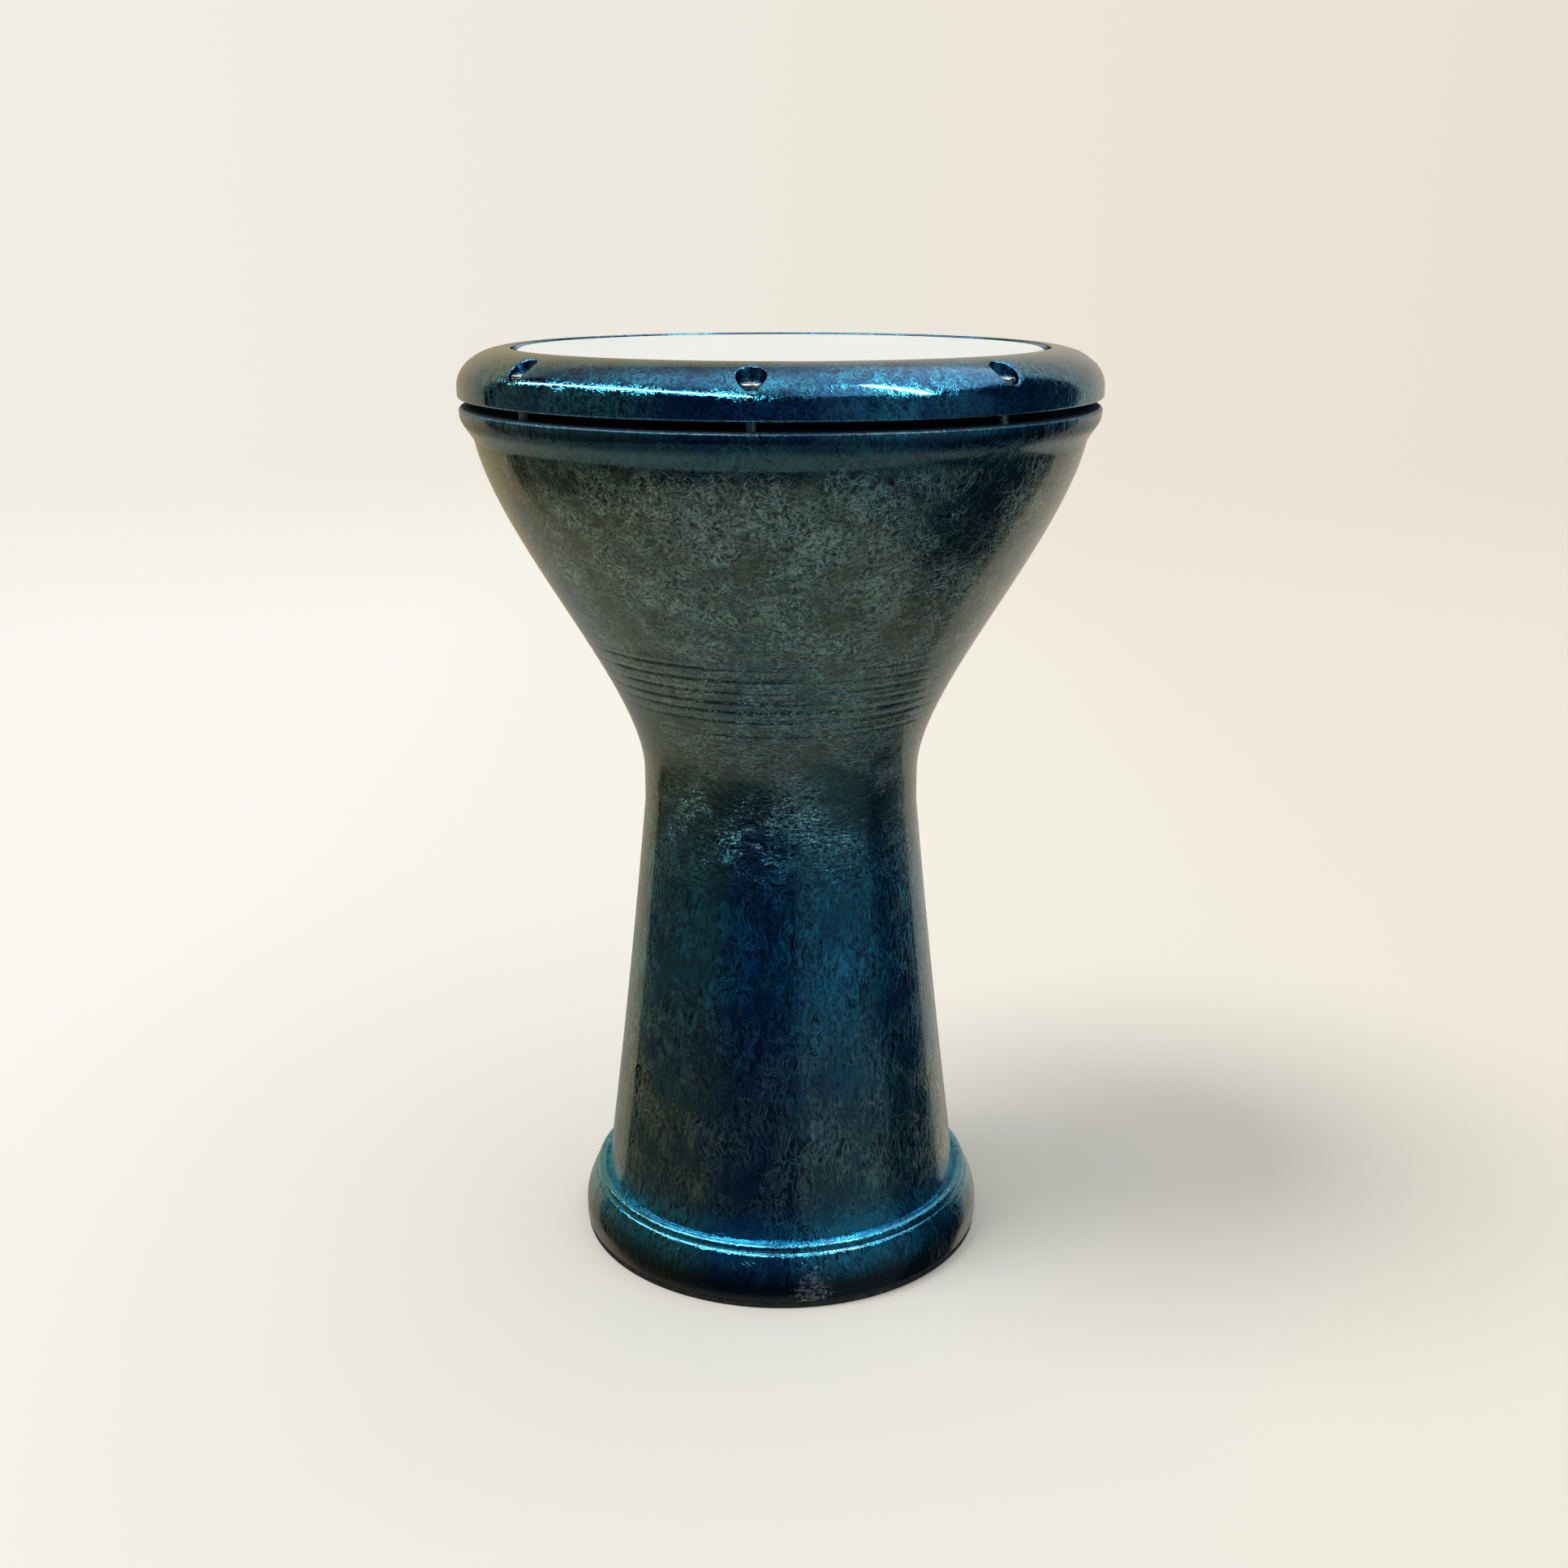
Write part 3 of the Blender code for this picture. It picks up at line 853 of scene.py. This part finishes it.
def trumpet(spot, columns=64):
    """Rows of points for one well: mouth, rolled lip, wall, floor, shank hole.
    The lip is the curve (1-t)^2 a + 2t(1-t) c + t^2 b down the wall, where a is on
    the ring's surface and c is where the wall would have met it."""
    around = np.linspace(0, math.tau, columns, endpoint=False)

    def level(radius, lift):
        x = spot[0] + radius * np.cos(around)
        y = spot[1] + radius * np.sin(around)
        return np.stack([x, y, ring_height(np.hypot(x, y)) + lift], axis=-1)

    def flat(radius, z):
        x = spot[0] + radius * np.cos(around)
        y = spot[1] + radius * np.sin(around)
        return np.stack([x, y, 0 * x + z], axis=-1)

    t = np.linspace(0, 1, 7)[:, None, None]
    a, c, b = level(WELL_R + ROLL, -0.02), level(WELL_R, 0), level(WELL_R, -ROLL)
    lip = (1 - t) ** 2 * a + 2 * t * (1 - t) * c + t**2 * b
    rows = [
        flat(WELL_R + ROLL + 0.3, RING_TOP_Z + 3),
        level(WELL_R + ROLL + 0.3, 0.25),
        *lip,
        flat(WELL_R, WELL_Z + 0.4),
        flat(WELL_R - 0.4, WELL_Z),
        flat(SHANK_R + 0.25, WELL_Z),
        flat(SHANK_R, WELL_Z - 0.25),
        flat(SHANK_R, RING_Z + 0.25),
        flat(SHANK_R + 0.3, RING_Z - 0.05),
        flat(SHANK_R + 0.3, RING_Z - 2),
    ]
    return np.stack(rows)


ends = [[(*spot, RING_TOP_Z + 3), (*spot, RING_Z - 2)] for spot in spots]
wells = np.stack([trumpet(spot) for spot in spots])
ring = carved(ring, surface("wells", wells, False, ends))
dress(ring, ring_finish, "ring")
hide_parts("clamp_ring")
print("clamp ring with wells:", len(ring.data.polygons), "faces")

# %% [markdown]
# ## The head film
#
# The head is a moulded sheet of polyester, 0.3 mm thick. It lies flat over the
# shell, bends over the bearing edge and runs down into the hoop. The hoop moves
# with the ring and the flat doesn't. Here the collar is one fixed curve from the
# bend down to the hoop.

# %% Film
film_r = HEAD_R + GAP + FILM_T / 2
film_z = FILM_TOP_Z - FILM_T / 2
bend = BEARING_ROUND + GAP + FILM_T / 2
RESIN_TOP_Z = 419.0
SEAT_R = 124.8
over = arc((film_r - bend, film_z - bend), (bend, bend), 90, 0, 14)
seat = (SEAT_R, RESIN_TOP_Z + 0.5)
pull = (over[-1][1] - seat[1]) / 2
collar = bezier(
    over[-1], (film_r, over[-1][1] - pull), (SEAT_R, seat[1] + pull), seat, 24
)
flat_part = np.stack([np.linspace(20, over[0][0], 12), np.full(12, film_z)], axis=1)
film_line = np.vstack([flat_part[:-1], over, collar[1:], [(SEAT_R, FILM_END_Z)]])
film_outline = np.vstack(
    [offset(film_line, FILM_T / 2), offset(film_line, -FILM_T / 2)[::-1]]
)
film = surface(
    "head_skin",
    swept(film_outline, 192),
    False,
    [(0, 0, FILM_TOP_Z), (0, 0, FILM_TOP_Z - FILM_T)],
)
print("film:", len(film.data.polygons), "faces, top at", round(FILM_TOP_Z, 2))

# %% [markdown]
# Frosted drum film has a fine grain that scatters light, and it is pale and a little
# warm. A true see-through film would show the dark inside of the drum, and this one
# doesn't, so it is a dense pale surface with a satin gloss.

# %% Film finish
film_finish = Finish("film", IOR=1.5)
cloud = film_finish.noise(film_finish.place, 9.0, 3.0)
grain = film_finish.noise(film_finish.place, 1400.0, 2.0)
milky = [(0.3, (0.86, 0.868, 0.825)), (0.7, (0.895, 0.895, 0.848))]
film_finish.wear(
    Base_Color=film_finish.ramp(cloud, milky),
    Roughness=0.42 + cloud * 0.16,
)
film_finish.bump(grain, 0.00002, 0.4)
dress(film, film_finish)
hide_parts("head_film")
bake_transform(film)
print("film finish:", len(film_finish.tree.nodes), "nodes")

# %% [markdown]
# ## Hoop and resin
#
# The film's edge stands in a channel of drawn aluminium, and resin poured round it
# holds it there. Surface tension draws the resin a little up both walls. The channel
# sits deep between ring and rim, and its metal is painted nearly black: painted
# shade for that deep gap.

# %% Hoop
HOOP_WALL = 1.0
HOOP_IN_R = 121.6
HOOP_IN_TOP_Z = HOOP_TOP_Z - 2.0
hoop_corners = [
    (HOOP_R - HOOP_WALL, HOOP_TOP_Z),
    (HOOP_R, HOOP_TOP_Z),
    (HOOP_R, HOOP_Z),
    (HOOP_IN_R, HOOP_Z),
    (HOOP_IN_R, HOOP_IN_TOP_Z),
    (HOOP_IN_R + HOOP_WALL, HOOP_IN_TOP_Z),
    (HOOP_IN_R + HOOP_WALL, HOOP_Z + HOOP_WALL),
    (HOOP_R - HOOP_WALL, HOOP_Z + HOOP_WALL),
]
hoop_radii = [0.3, 0.3, 0.9, 0.9, 0.3, 0.3, 0.25, 0.25]
hoop = turned("hoop_channel", rounded(hoop_corners, hoop_radii), 192)
hoop_finish = Finish("drawn_aluminium", Metallic=1.0)
drawn = hoop_finish.noise(hoop_finish.stretch(hoop_finish.place, (60, 60, 4000)), 1.0)
# Painted shade: the aluminium's colour is nearly black because its gap is dark.
gap_shaded = [(0.2, (0.05, 0.051, 0.053)), (0.8, (0.11, 0.112, 0.115))]
hoop_finish.wear(Base_Color=hoop_finish.ramp(drawn, gap_shaded), Roughness=0.26 + drawn * 0.2)
hoop_finish.bump(drawn, 0.00004, 0.6)
dress(hoop, hoop_finish, "ring")
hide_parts("head_hoop")
print("hoop:", len(hoop.data.polygons), "faces")

# %% Resin
RESIN_Z = HOOP_Z + HOOP_WALL + GAP
RESIN_OUT_R = HOOP_R - HOOP_WALL - GAP
RESIN_IN_R = HOOP_IN_R + HOOP_WALL + GAP
SLOT_HALF = FILM_T / 2 + GAP
SLOT_Z = FILM_END_Z - GAP
MENISCUS = 0.4
outer_pool = bezier(
    (SEAT_R + SLOT_HALF, RESIN_TOP_Z),
    (SEAT_R + SLOT_HALF + 0.3, RESIN_TOP_Z - MENISCUS),
    (RESIN_OUT_R - 0.3, RESIN_TOP_Z - MENISCUS),
    (RESIN_OUT_R, RESIN_TOP_Z),
    8,
)
inner_pool = outer_pool * (-1, 1) + (2 * SEAT_R, 0)
resin_outline = np.vstack(
    [
        outer_pool,
        [(RESIN_OUT_R, RESIN_Z + 0.2), (RESIN_OUT_R - 0.2, RESIN_Z)],
        [(RESIN_IN_R + 0.2, RESIN_Z), (RESIN_IN_R, RESIN_Z + 0.2)],
        inner_pool[::-1],
        [(SEAT_R - SLOT_HALF, SLOT_Z), (SEAT_R + SLOT_HALF, SLOT_Z)],
    ]
)
resin = turned("resin_bed", resin_outline, 192)
resin_finish = Finish("cast_resin", Roughness=0.35, Subsurface_Weight=0.2)
milk = resin_finish.noise(resin_finish.place, 160.0, 4.0)
amber = [(0.3, (0.74, 0.66, 0.46)), (0.75, (0.86, 0.81, 0.66))]
resin_finish.wear(Base_Color=resin_finish.ramp(milk, amber))
resin_finish.bump(milk, 0.0001, 0.3)
dress(resin, resin_finish, "ring")
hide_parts("hoop_resin")
print("resin:", len(resin.data.polygons), "faces")

# %% [markdown]
# ## Bolts, washers and inserts
#
# Each bolt is one surface: from the bottom of its hexagon socket, up and over the
# knurled head, under it and down a true helical thread. The radius is a function of
# the way along and the angle. A groove of a screw satisfies z = pitch * turns, so
# (z / pitch - turns) tells how far into the thread's profile a point lies.

# %% Bolt surface
PITCH = 1.0
BOLT_R = 3.0
THREAD = 0.55
BOLT_HEAD_R = 5.0
HEAD_Z = 422.4
HEAD_TOP = HEAD_Z + 6.0
TIP_Z = 402.4
AF = 5.0
SOCKET_Z = HEAD_TOP - 3.0
RIDGES = 24
SOCKET_STEP = 37.0


def hexagon(angle, across):
    """Radius of a hexagon's flats: across / 2 / cos(angle from the nearest flat)."""
    turn = np.mod(angle, math.pi / 3) - math.pi / 6
    return across / 2 / np.cos(turn)


def thread_depth(z, angle):
    """0 at the crest and 1 at the root of a right-hand V-thread."""
    phase = np.mod(z / PITCH - angle / math.tau, 1.0)
    return np.clip(1.3 * (1 - 2 * np.abs(phase - 0.5)) - 0.15, 0, 1)


def bolt_points(spot, turn, columns=96):
    """Rows from the socket's floor over the head and down the thread to the tip.
    The radius of a threaded row is bolt radius - thread height * depth(z, a)."""
    a = np.linspace(0, math.tau, columns, endpoint=False)
    local = a - turn
    ridge = 0.09 * (1 - np.cos(local * RIDGES))
    hexa = hexagon(local, AF)
    head = [
        (hexa * 0.35, SOCKET_Z - 0.5),
        (hexa * 0.97, SOCKET_Z),
        (hexa, SOCKET_Z + 0.1),
        (hexa, HEAD_TOP - 0.35),
        (hexa + 0.25, HEAD_TOP - 0.12),
        (0 * a + 3.35, HEAD_TOP),
        (0 * a + 4.25, HEAD_TOP),
        (0 * a + 4.5, HEAD_TOP - 0.1),
        (0 * a + 4.75, HEAD_TOP - 0.4),
        (0 * a + BOLT_HEAD_R - 0.05, HEAD_TOP - 0.9),
        (BOLT_HEAD_R - ridge, HEAD_TOP - 1.3),
        (BOLT_HEAD_R - ridge, HEAD_Z + 1.0),
        (0 * a + BOLT_HEAD_R - 0.1, HEAD_Z + 0.5),
        (0 * a + BOLT_HEAD_R - 0.15, HEAD_Z + 0.2),
        (0 * a + BOLT_HEAD_R - 0.4, HEAD_Z),
        (0 * a + 3.3, HEAD_Z),
        (0 * a + BOLT_R, HEAD_Z - 0.3),
    ]
    heights = np.linspace(HEAD_Z - 0.8, TIP_Z, 158)[:, None]
    shank = BOLT_R - 0.04 - THREAD * thread_depth(heights, a[None, :])
    shank = np.minimum(shank, 2.3 + (heights - TIP_Z) * 0.9 + 0.1)
    radius = np.vstack([np.stack([r for r, z in head]), shank])
    z = np.concatenate([[z for r, z in head], heights[:, 0]])[:, None]
    z = np.broadcast_to(z, radius.shape)
    x = spot[0] + radius * np.cos(a)
    y = spot[1] + radius * np.sin(a)
    return np.stack([x, y, z], axis=-1)


print("bolt: M6, from", TIP_Z, "to", HEAD_TOP, "mm")

# %% [markdown]
# Nickel, zinc and brass are the same recipe with other colours: a metal whose tone
# and gloss change a little with a fine noise, as handled metal does.

# %% Bolt, washer and insert finishes
bolt_finish = Finish("nickel_steel", Metallic=1.0)
scuff = bolt_finish.noise(bolt_finish.place, 700.0, 4.0)
nickel = [(0.3, (0.62, 0.62, 0.6)), (0.7, (0.8, 0.8, 0.78))]
bolt_finish.wear(
    Base_Color=bolt_finish.ramp(scuff, nickel), Roughness=0.14 + scuff * 0.14
)
bolt_finish.bump(scuff, 0.00003, 0.5)
washer_finish = Finish("zinc_steel", Metallic=1.0)
bloom = washer_finish.noise(washer_finish.place, 420.0, 5.0)
zinc = [(0.3, (0.5, 0.52, 0.55)), (0.7, (0.7, 0.71, 0.72))]
washer_finish.wear(
    Base_Color=washer_finish.ramp(bloom, zinc), Roughness=0.28 + bloom * 0.2
)
brass_finish = Finish("brass", Metallic=1.0)
tarnish = brass_finish.noise(brass_finish.place, 300.0, 4.0)
brass = [(0.3, (0.5, 0.33, 0.12)), (0.7, (0.78, 0.58, 0.27))]
brass_finish.wear(
    Base_Color=brass_finish.ramp(tarnish, brass), Roughness=0.25 + tarnish * 0.2
)
metals = (bolt_finish, washer_finish, brass_finish)
print("metals:", [metal.material.name for metal in metals])

# %% Bolts, washers and inserts
WASHER_Z = 420.5
WASHER_TOP_Z = WASHER_Z + 1.6
WASHER_R = 5.5
washer_corners = [
    (WASHER_R, WASHER_TOP_Z),
    (WASHER_R, WASHER_Z),
    (SHANK_R, WASHER_Z),
    (SHANK_R, WASHER_TOP_Z),
]
washer_outline = rounded(washer_corners, 0.25, 3)
INSERT_LOW, INSERT_HIGH = 401.5, 409.8


def insert_points(spot, columns=64, rows=88):
    """A brass tube: knurled outside, and inside the bolt's thread with clearance."""
    a = np.linspace(0, math.tau, columns, endpoint=False)[None, :]
    down = np.linspace(INSERT_HIGH - 0.3, INSERT_LOW + 0.3, 12)[:, None]
    up = np.linspace(INSERT_LOW + 0.2, INSERT_HIGH - 0.2, rows)[:, None]
    outside = 3.8 - 0.05 * (1 - np.cos(a * 16)) + 0 * down
    inside = BOLT_R + 0.06 - THREAD * thread_depth(up, a)
    low = [0 * a + 3.6, 0 * a + 3.25]
    radius = np.vstack([outside, *low, inside, 0 * a + 3.25, 0 * a + 3.6])
    z = np.concatenate(
        [down[:, 0], [INSERT_LOW, INSERT_LOW], up[:, 0], [INSERT_HIGH, INSERT_HIGH]]
    )
    z = np.broadcast_to(z[:, None], radius.shape)
    x = spot[0] + radius * np.cos(a)
    y = spot[1] + radius * np.sin(a)
    return np.stack([x, y, z], axis=-1)


for k, spot in enumerate(spots):
    number = k + 1
    turn = math.radians(SOCKET_STEP * k)
    ends = [(*spot, SOCKET_Z - 0.5), (*spot, TIP_Z)]
    bolt = surface(f"bolt_{number}", bolt_points(spot, turn), False, ends, 40)
    dress(bolt, bolt_finish, f"tuning_bolt_{number}")
    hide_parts(f"tuning_bolt_{number}")
    washer = surface(f"washer_{number}", swept(washer_outline, 48, spot))
    dress(washer, washer_finish, "ring")
    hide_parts(f"bolt_washer_{number}")
    insert = surface(f"insert_{number}", insert_points(spot))
    dress(insert, brass_finish, "shell")
    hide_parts(f"thread_insert_{number}")
print("bolts, washers and inserts:", 3 * BOLTS)

# %% [markdown]
# ## The rubber foot
#
# A ring of black rubber keeps the drum from walking on a hard floor. Moulded rubber
# has soft corners and picks up dust, so its finish is matt with a faint bloom. A
# groove in its underside helps it grip.

# %% Rubber foot
PAD_TOP_Z = 3.0
PAD_LIP_R = BORE_R - GAP
PAD_IN_R = PAD_LIP_R - 2.4
GRIP_Z = PAD_Z + 0.7
pad_corners = [
    (PAD_LIP_R, PAD_LIP_Z),
    (PAD_LIP_R, PAD_TOP_Z),
    (PAD_R, PAD_TOP_Z),
    (PAD_R, PAD_Z),
    (96.6, PAD_Z),
    (96.2, GRIP_Z),
    (94.8, GRIP_Z),
    (94.4, PAD_Z),
    (PAD_IN_R, PAD_Z),
    (PAD_IN_R, PAD_LIP_Z),
]
pad_radii = [0.5, 0.3, 0.6, 0.6, 0.2, 0.2, 0.2, 0.2, 0.6, 0.5]
pad = turned("rubber_foot", rounded(pad_corners, pad_radii), 192)
pad_finish = Finish("black_rubber", Roughness=0.6)
dust = pad_finish.noise(pad_finish.place, 220.0, 5.0)
dusty = [(0.45, (0.011, 0.011, 0.012)), (0.8, (0.045, 0.044, 0.042))]
pad_finish.wear(Base_Color=pad_finish.ramp(dust, dusty), Roughness=0.5 + dust * 0.25)
pad_finish.bump(dust, 0.00008, 0.5)
dress(pad, pad_finish, "shell")
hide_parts("foot_pad")
print("rubber foot:", len(pad.data.polygons), "faces")

# %% [markdown]
# ## Floor
#
# The drum stands on a sweep of warm paper, a little paler on the left. The disc
# fades out far from the drum and into the pale air, so no horizon cuts the view. It
# doesn't show in the lacquer: what the lacquer mirrors is given by the room alone,
# which is easier to shape.

# %% Floor
FLOOR_R = 4.0
FLOOR_COLUMNS = 96
grid = np.linspace(0, 1, 40)[:0:-1, None] ** 2 * FLOOR_R / MM
floor_rings = swept(np.hstack([grid, 0 * grid]), FLOOR_COLUMNS)
index = np.arange(floor_rings.size // 3).reshape(-1, FLOOR_COLUMNS)
beside = np.roll(index, -1, axis=1)
quads = np.stack([index[:-1], beside[:-1], beside[1:], index[1:]], axis=-1)
hub = np.stack([index[-1], beside[-1], index[-1] * 0 + index.size], axis=-1)
floor_places = np.vstack([floor_rings.reshape(-1, 3), [(0, 0, 0)]]) * MM
floor_mesh = bpy.data.meshes.new("floor")
floor_faces = quads.reshape(-1, 4).tolist() + hub.tolist()
floor_mesh.from_pydata(floor_places.tolist(), [], floor_faces)
floor = as_object("floor", floor_mesh)
print("floor:", len(floor_faces), "faces")

# %% Floor finish
FADE_FROM = 1.2
FADE_TO = 3.6
floor_finish = Finish("floor_paper", Roughness=0.9, Specular_IOR_Level=0.2)
fx, fy, _ = floor_finish.xyz(floor_finish.place)
far = (fx * fx + fy * fy) ** 0.5
paper = [(0.0, (0.865, 0.838, 0.770)), (1.0, (0.770, 0.725, 0.625))]
floor_finish.wear(Base_Color=floor_finish.ramp(fx + 0.5, paper))
seen = floor_finish.node(
    "MixShader",
    None,
    {
        0: floor_finish.ease(far, FADE_FROM, FADE_TO),
        1: Wire(floor_finish, floor_finish.shader.outputs[0]),
        2: floor_finish.node("BsdfTransparent"),
    },
)
floor_finish.put(floor_finish.tree.nodes["Material Output"].inputs[0], seen)
floor.data.materials.append(floor_finish.material)
floor.visible_glossy = False
print("floor fades between", FADE_FROM, "and", FADE_TO, "m")

# %% [markdown]
# ## Room
#
# A glossy drum shows the room more than itself. This one is told by direction: pale
# at both sides, with a dark edge inside each pale part, dim in front, a bright
# ceiling towards the right, and a soft light from below where the bowl looks down.
# The eye itself sees only even pale air.

# %% Room colours
PALE_LEFT = (0.37, 0.31, 0.19)
PALE_RIGHT = (0.42, 0.38, 0.31)
UNDER = (0.26, 0.26, 0.235)
NIGHT = (0.012, 0.028, 0.045)
BLACK = (0.006, 0.006, 0.008)
WARM = (0.080, 0.080, 0.064)
DIM = (0.018, 0.030, 0.060)
COOL = (0.085, 0.130, 0.150)
AROUND = [
    (0.0, PALE_LEFT),
    (0.150, PALE_LEFT),
    (0.156, BLACK),
    (0.172, BLACK),
    (0.180, WARM),
    (0.34, WARM),
    (0.40, DIM),
    (0.531, DIM),
    (0.536, COOL),
    (0.70, COOL),
    (0.725, NIGHT),
    (0.835, NIGHT),
    (0.845, BLACK),
    (0.855, PALE_RIGHT),
    (1.0, PALE_RIGHT),
]


def round_about(tree, x, y):
    """The room's colour by the direction (x, y), with the near side at the middle."""
    angle = tree.node("Math", {"operation": "ARCTAN2"}, {0: x, 1: y * -1.0})
    return tree.ramp(angle / math.tau + 0.5, AROUND)


print("room has", len(AROUND), "stops round it")

# %% Room
SKYLIGHT = (0.98, 1.06, 1.14)
OVERHEAD = [
    (0.66, (0.15, 0.15, 0.15)),
    (0.85, (0.34, 0.34, 0.34)),
    (1.0, (0.9, 0.9, 0.9)),
]
AIR = [(0.1, (0.888, 0.855, 0.783)), (0.9, (0.799, 0.753, 0.651))]
scene.world = bpy.data.worlds.new("room")
scene.world.use_nodes = True
room = Tree(scene.world.node_tree)
rx, ry, rz = room.xyz(room.node("TexCoord", out=0))
behind = room.node("Math", {"operation": "MAXIMUM"}, {0: ry, 1: 0.0})
right = room.node("Math", {"operation": "MAXIMUM"}, {0: rx - 0.15, 1: 0.0})
below = room.ramp(abs(rx), [(0.45, UNDER), (0.85, PALE_LEFT)])
off_floor = room.ease(rz - behind * 0.35 + right * 0.45, -0.68, -0.56)
walls = room.mix(off_floor, below, round_about(room, rx, ry))
rightward = room.ease(rx, -0.1, 0.4, 0.0, 0.9)
ceiling = room.mix(rightward, room.ramp(rz, OVERHEAD), SKYLIGHT)
lit = room.mix(room.ease(rz, 0.62, 0.68), walls, ceiling)
air = room.mix(room.node("LightPath", out=0), lit, room.ramp(rx + 0.5, AIR))
room.put(room.tree.nodes["Background"].inputs["Color"], air)
print("room:", len(room.tree.nodes), "nodes")

# %% [markdown]
# ## Lamps
#
# Two narrow softboxes draw the white lines along the ring and the bead. Being long
# and thin, they show how round a surface is better than one large lamp would.


# %% Softboxes
def softbox(name, start, end, aim, breadth, radiance):
    """A long lamp from start to end that faces aim. Its power is pi times radiance
    times area. It shows in the lacquer only, so that the floor stays even."""
    start, end, aim = map(np.array, (start, end, aim))
    along = (end - start) / np.linalg.norm(end - start)
    away = (start + end) / 2 - aim
    away = away - along * (away @ along)
    away = away / np.linalg.norm(away)
    length = float(np.linalg.norm(end - start))
    data = bpy.data.lights.new(name, "AREA")
    data.shape = "RECTANGLE"
    data.size, data.size_y = length, breadth
    data.energy = math.pi * radiance * length * breadth
    lamp = bpy.data.objects.new(name, data)
    axes = np.stack([along, np.cross(away, along), away], axis=1)
    lamp.matrix_world = Matrix.LocRotScale((start + end) / 2, Matrix(axes), None)
    lamp.visible_diffuse = False
    lamp.visible_camera = False
    scene.collection.objects.link(lamp)


RING_MIDDLE = (0, 0, 0.42)
softbox("long_box", (-0.26, -1.41, 1.50), (-2.85, 1.22, 2.05), RING_MIDDLE, 0.09, 24)
softbox("side_box", (0.88, -0.66, 1.10), (0.48, -0.36, 1.85), RING_MIDDLE, 0.09, 24)
print("softboxes aim at", RING_MIDDLE)

# %% [markdown]
# Two distant lamps light the floor. The key is a wide one from the left, so that the
# drum's shadow is soft. The fill comes from nearly the whole sky and keeps that
# shadow pale. Neither shows in the lacquer.


# %% Sky lamps
def sky_lamp(name, energy, width, towards):
    """A distant lamp that is width degrees wide and stands in the given direction."""
    data = bpy.data.lights.new(name, "SUN")
    data.energy = energy
    data.angle = math.radians(width)
    lamp = bpy.data.objects.new(name, data)
    lamp.rotation_euler = Vector(towards).to_track_quat("Z", "Y").to_euler()
    lamp.visible_glossy = False
    scene.collection.objects.link(lamp)


sky_lamp("key", 1.5, 26, (-0.48, -0.134, 0.866))
sky_lamp("fill", 0.9, 170, (0, 0, 1))
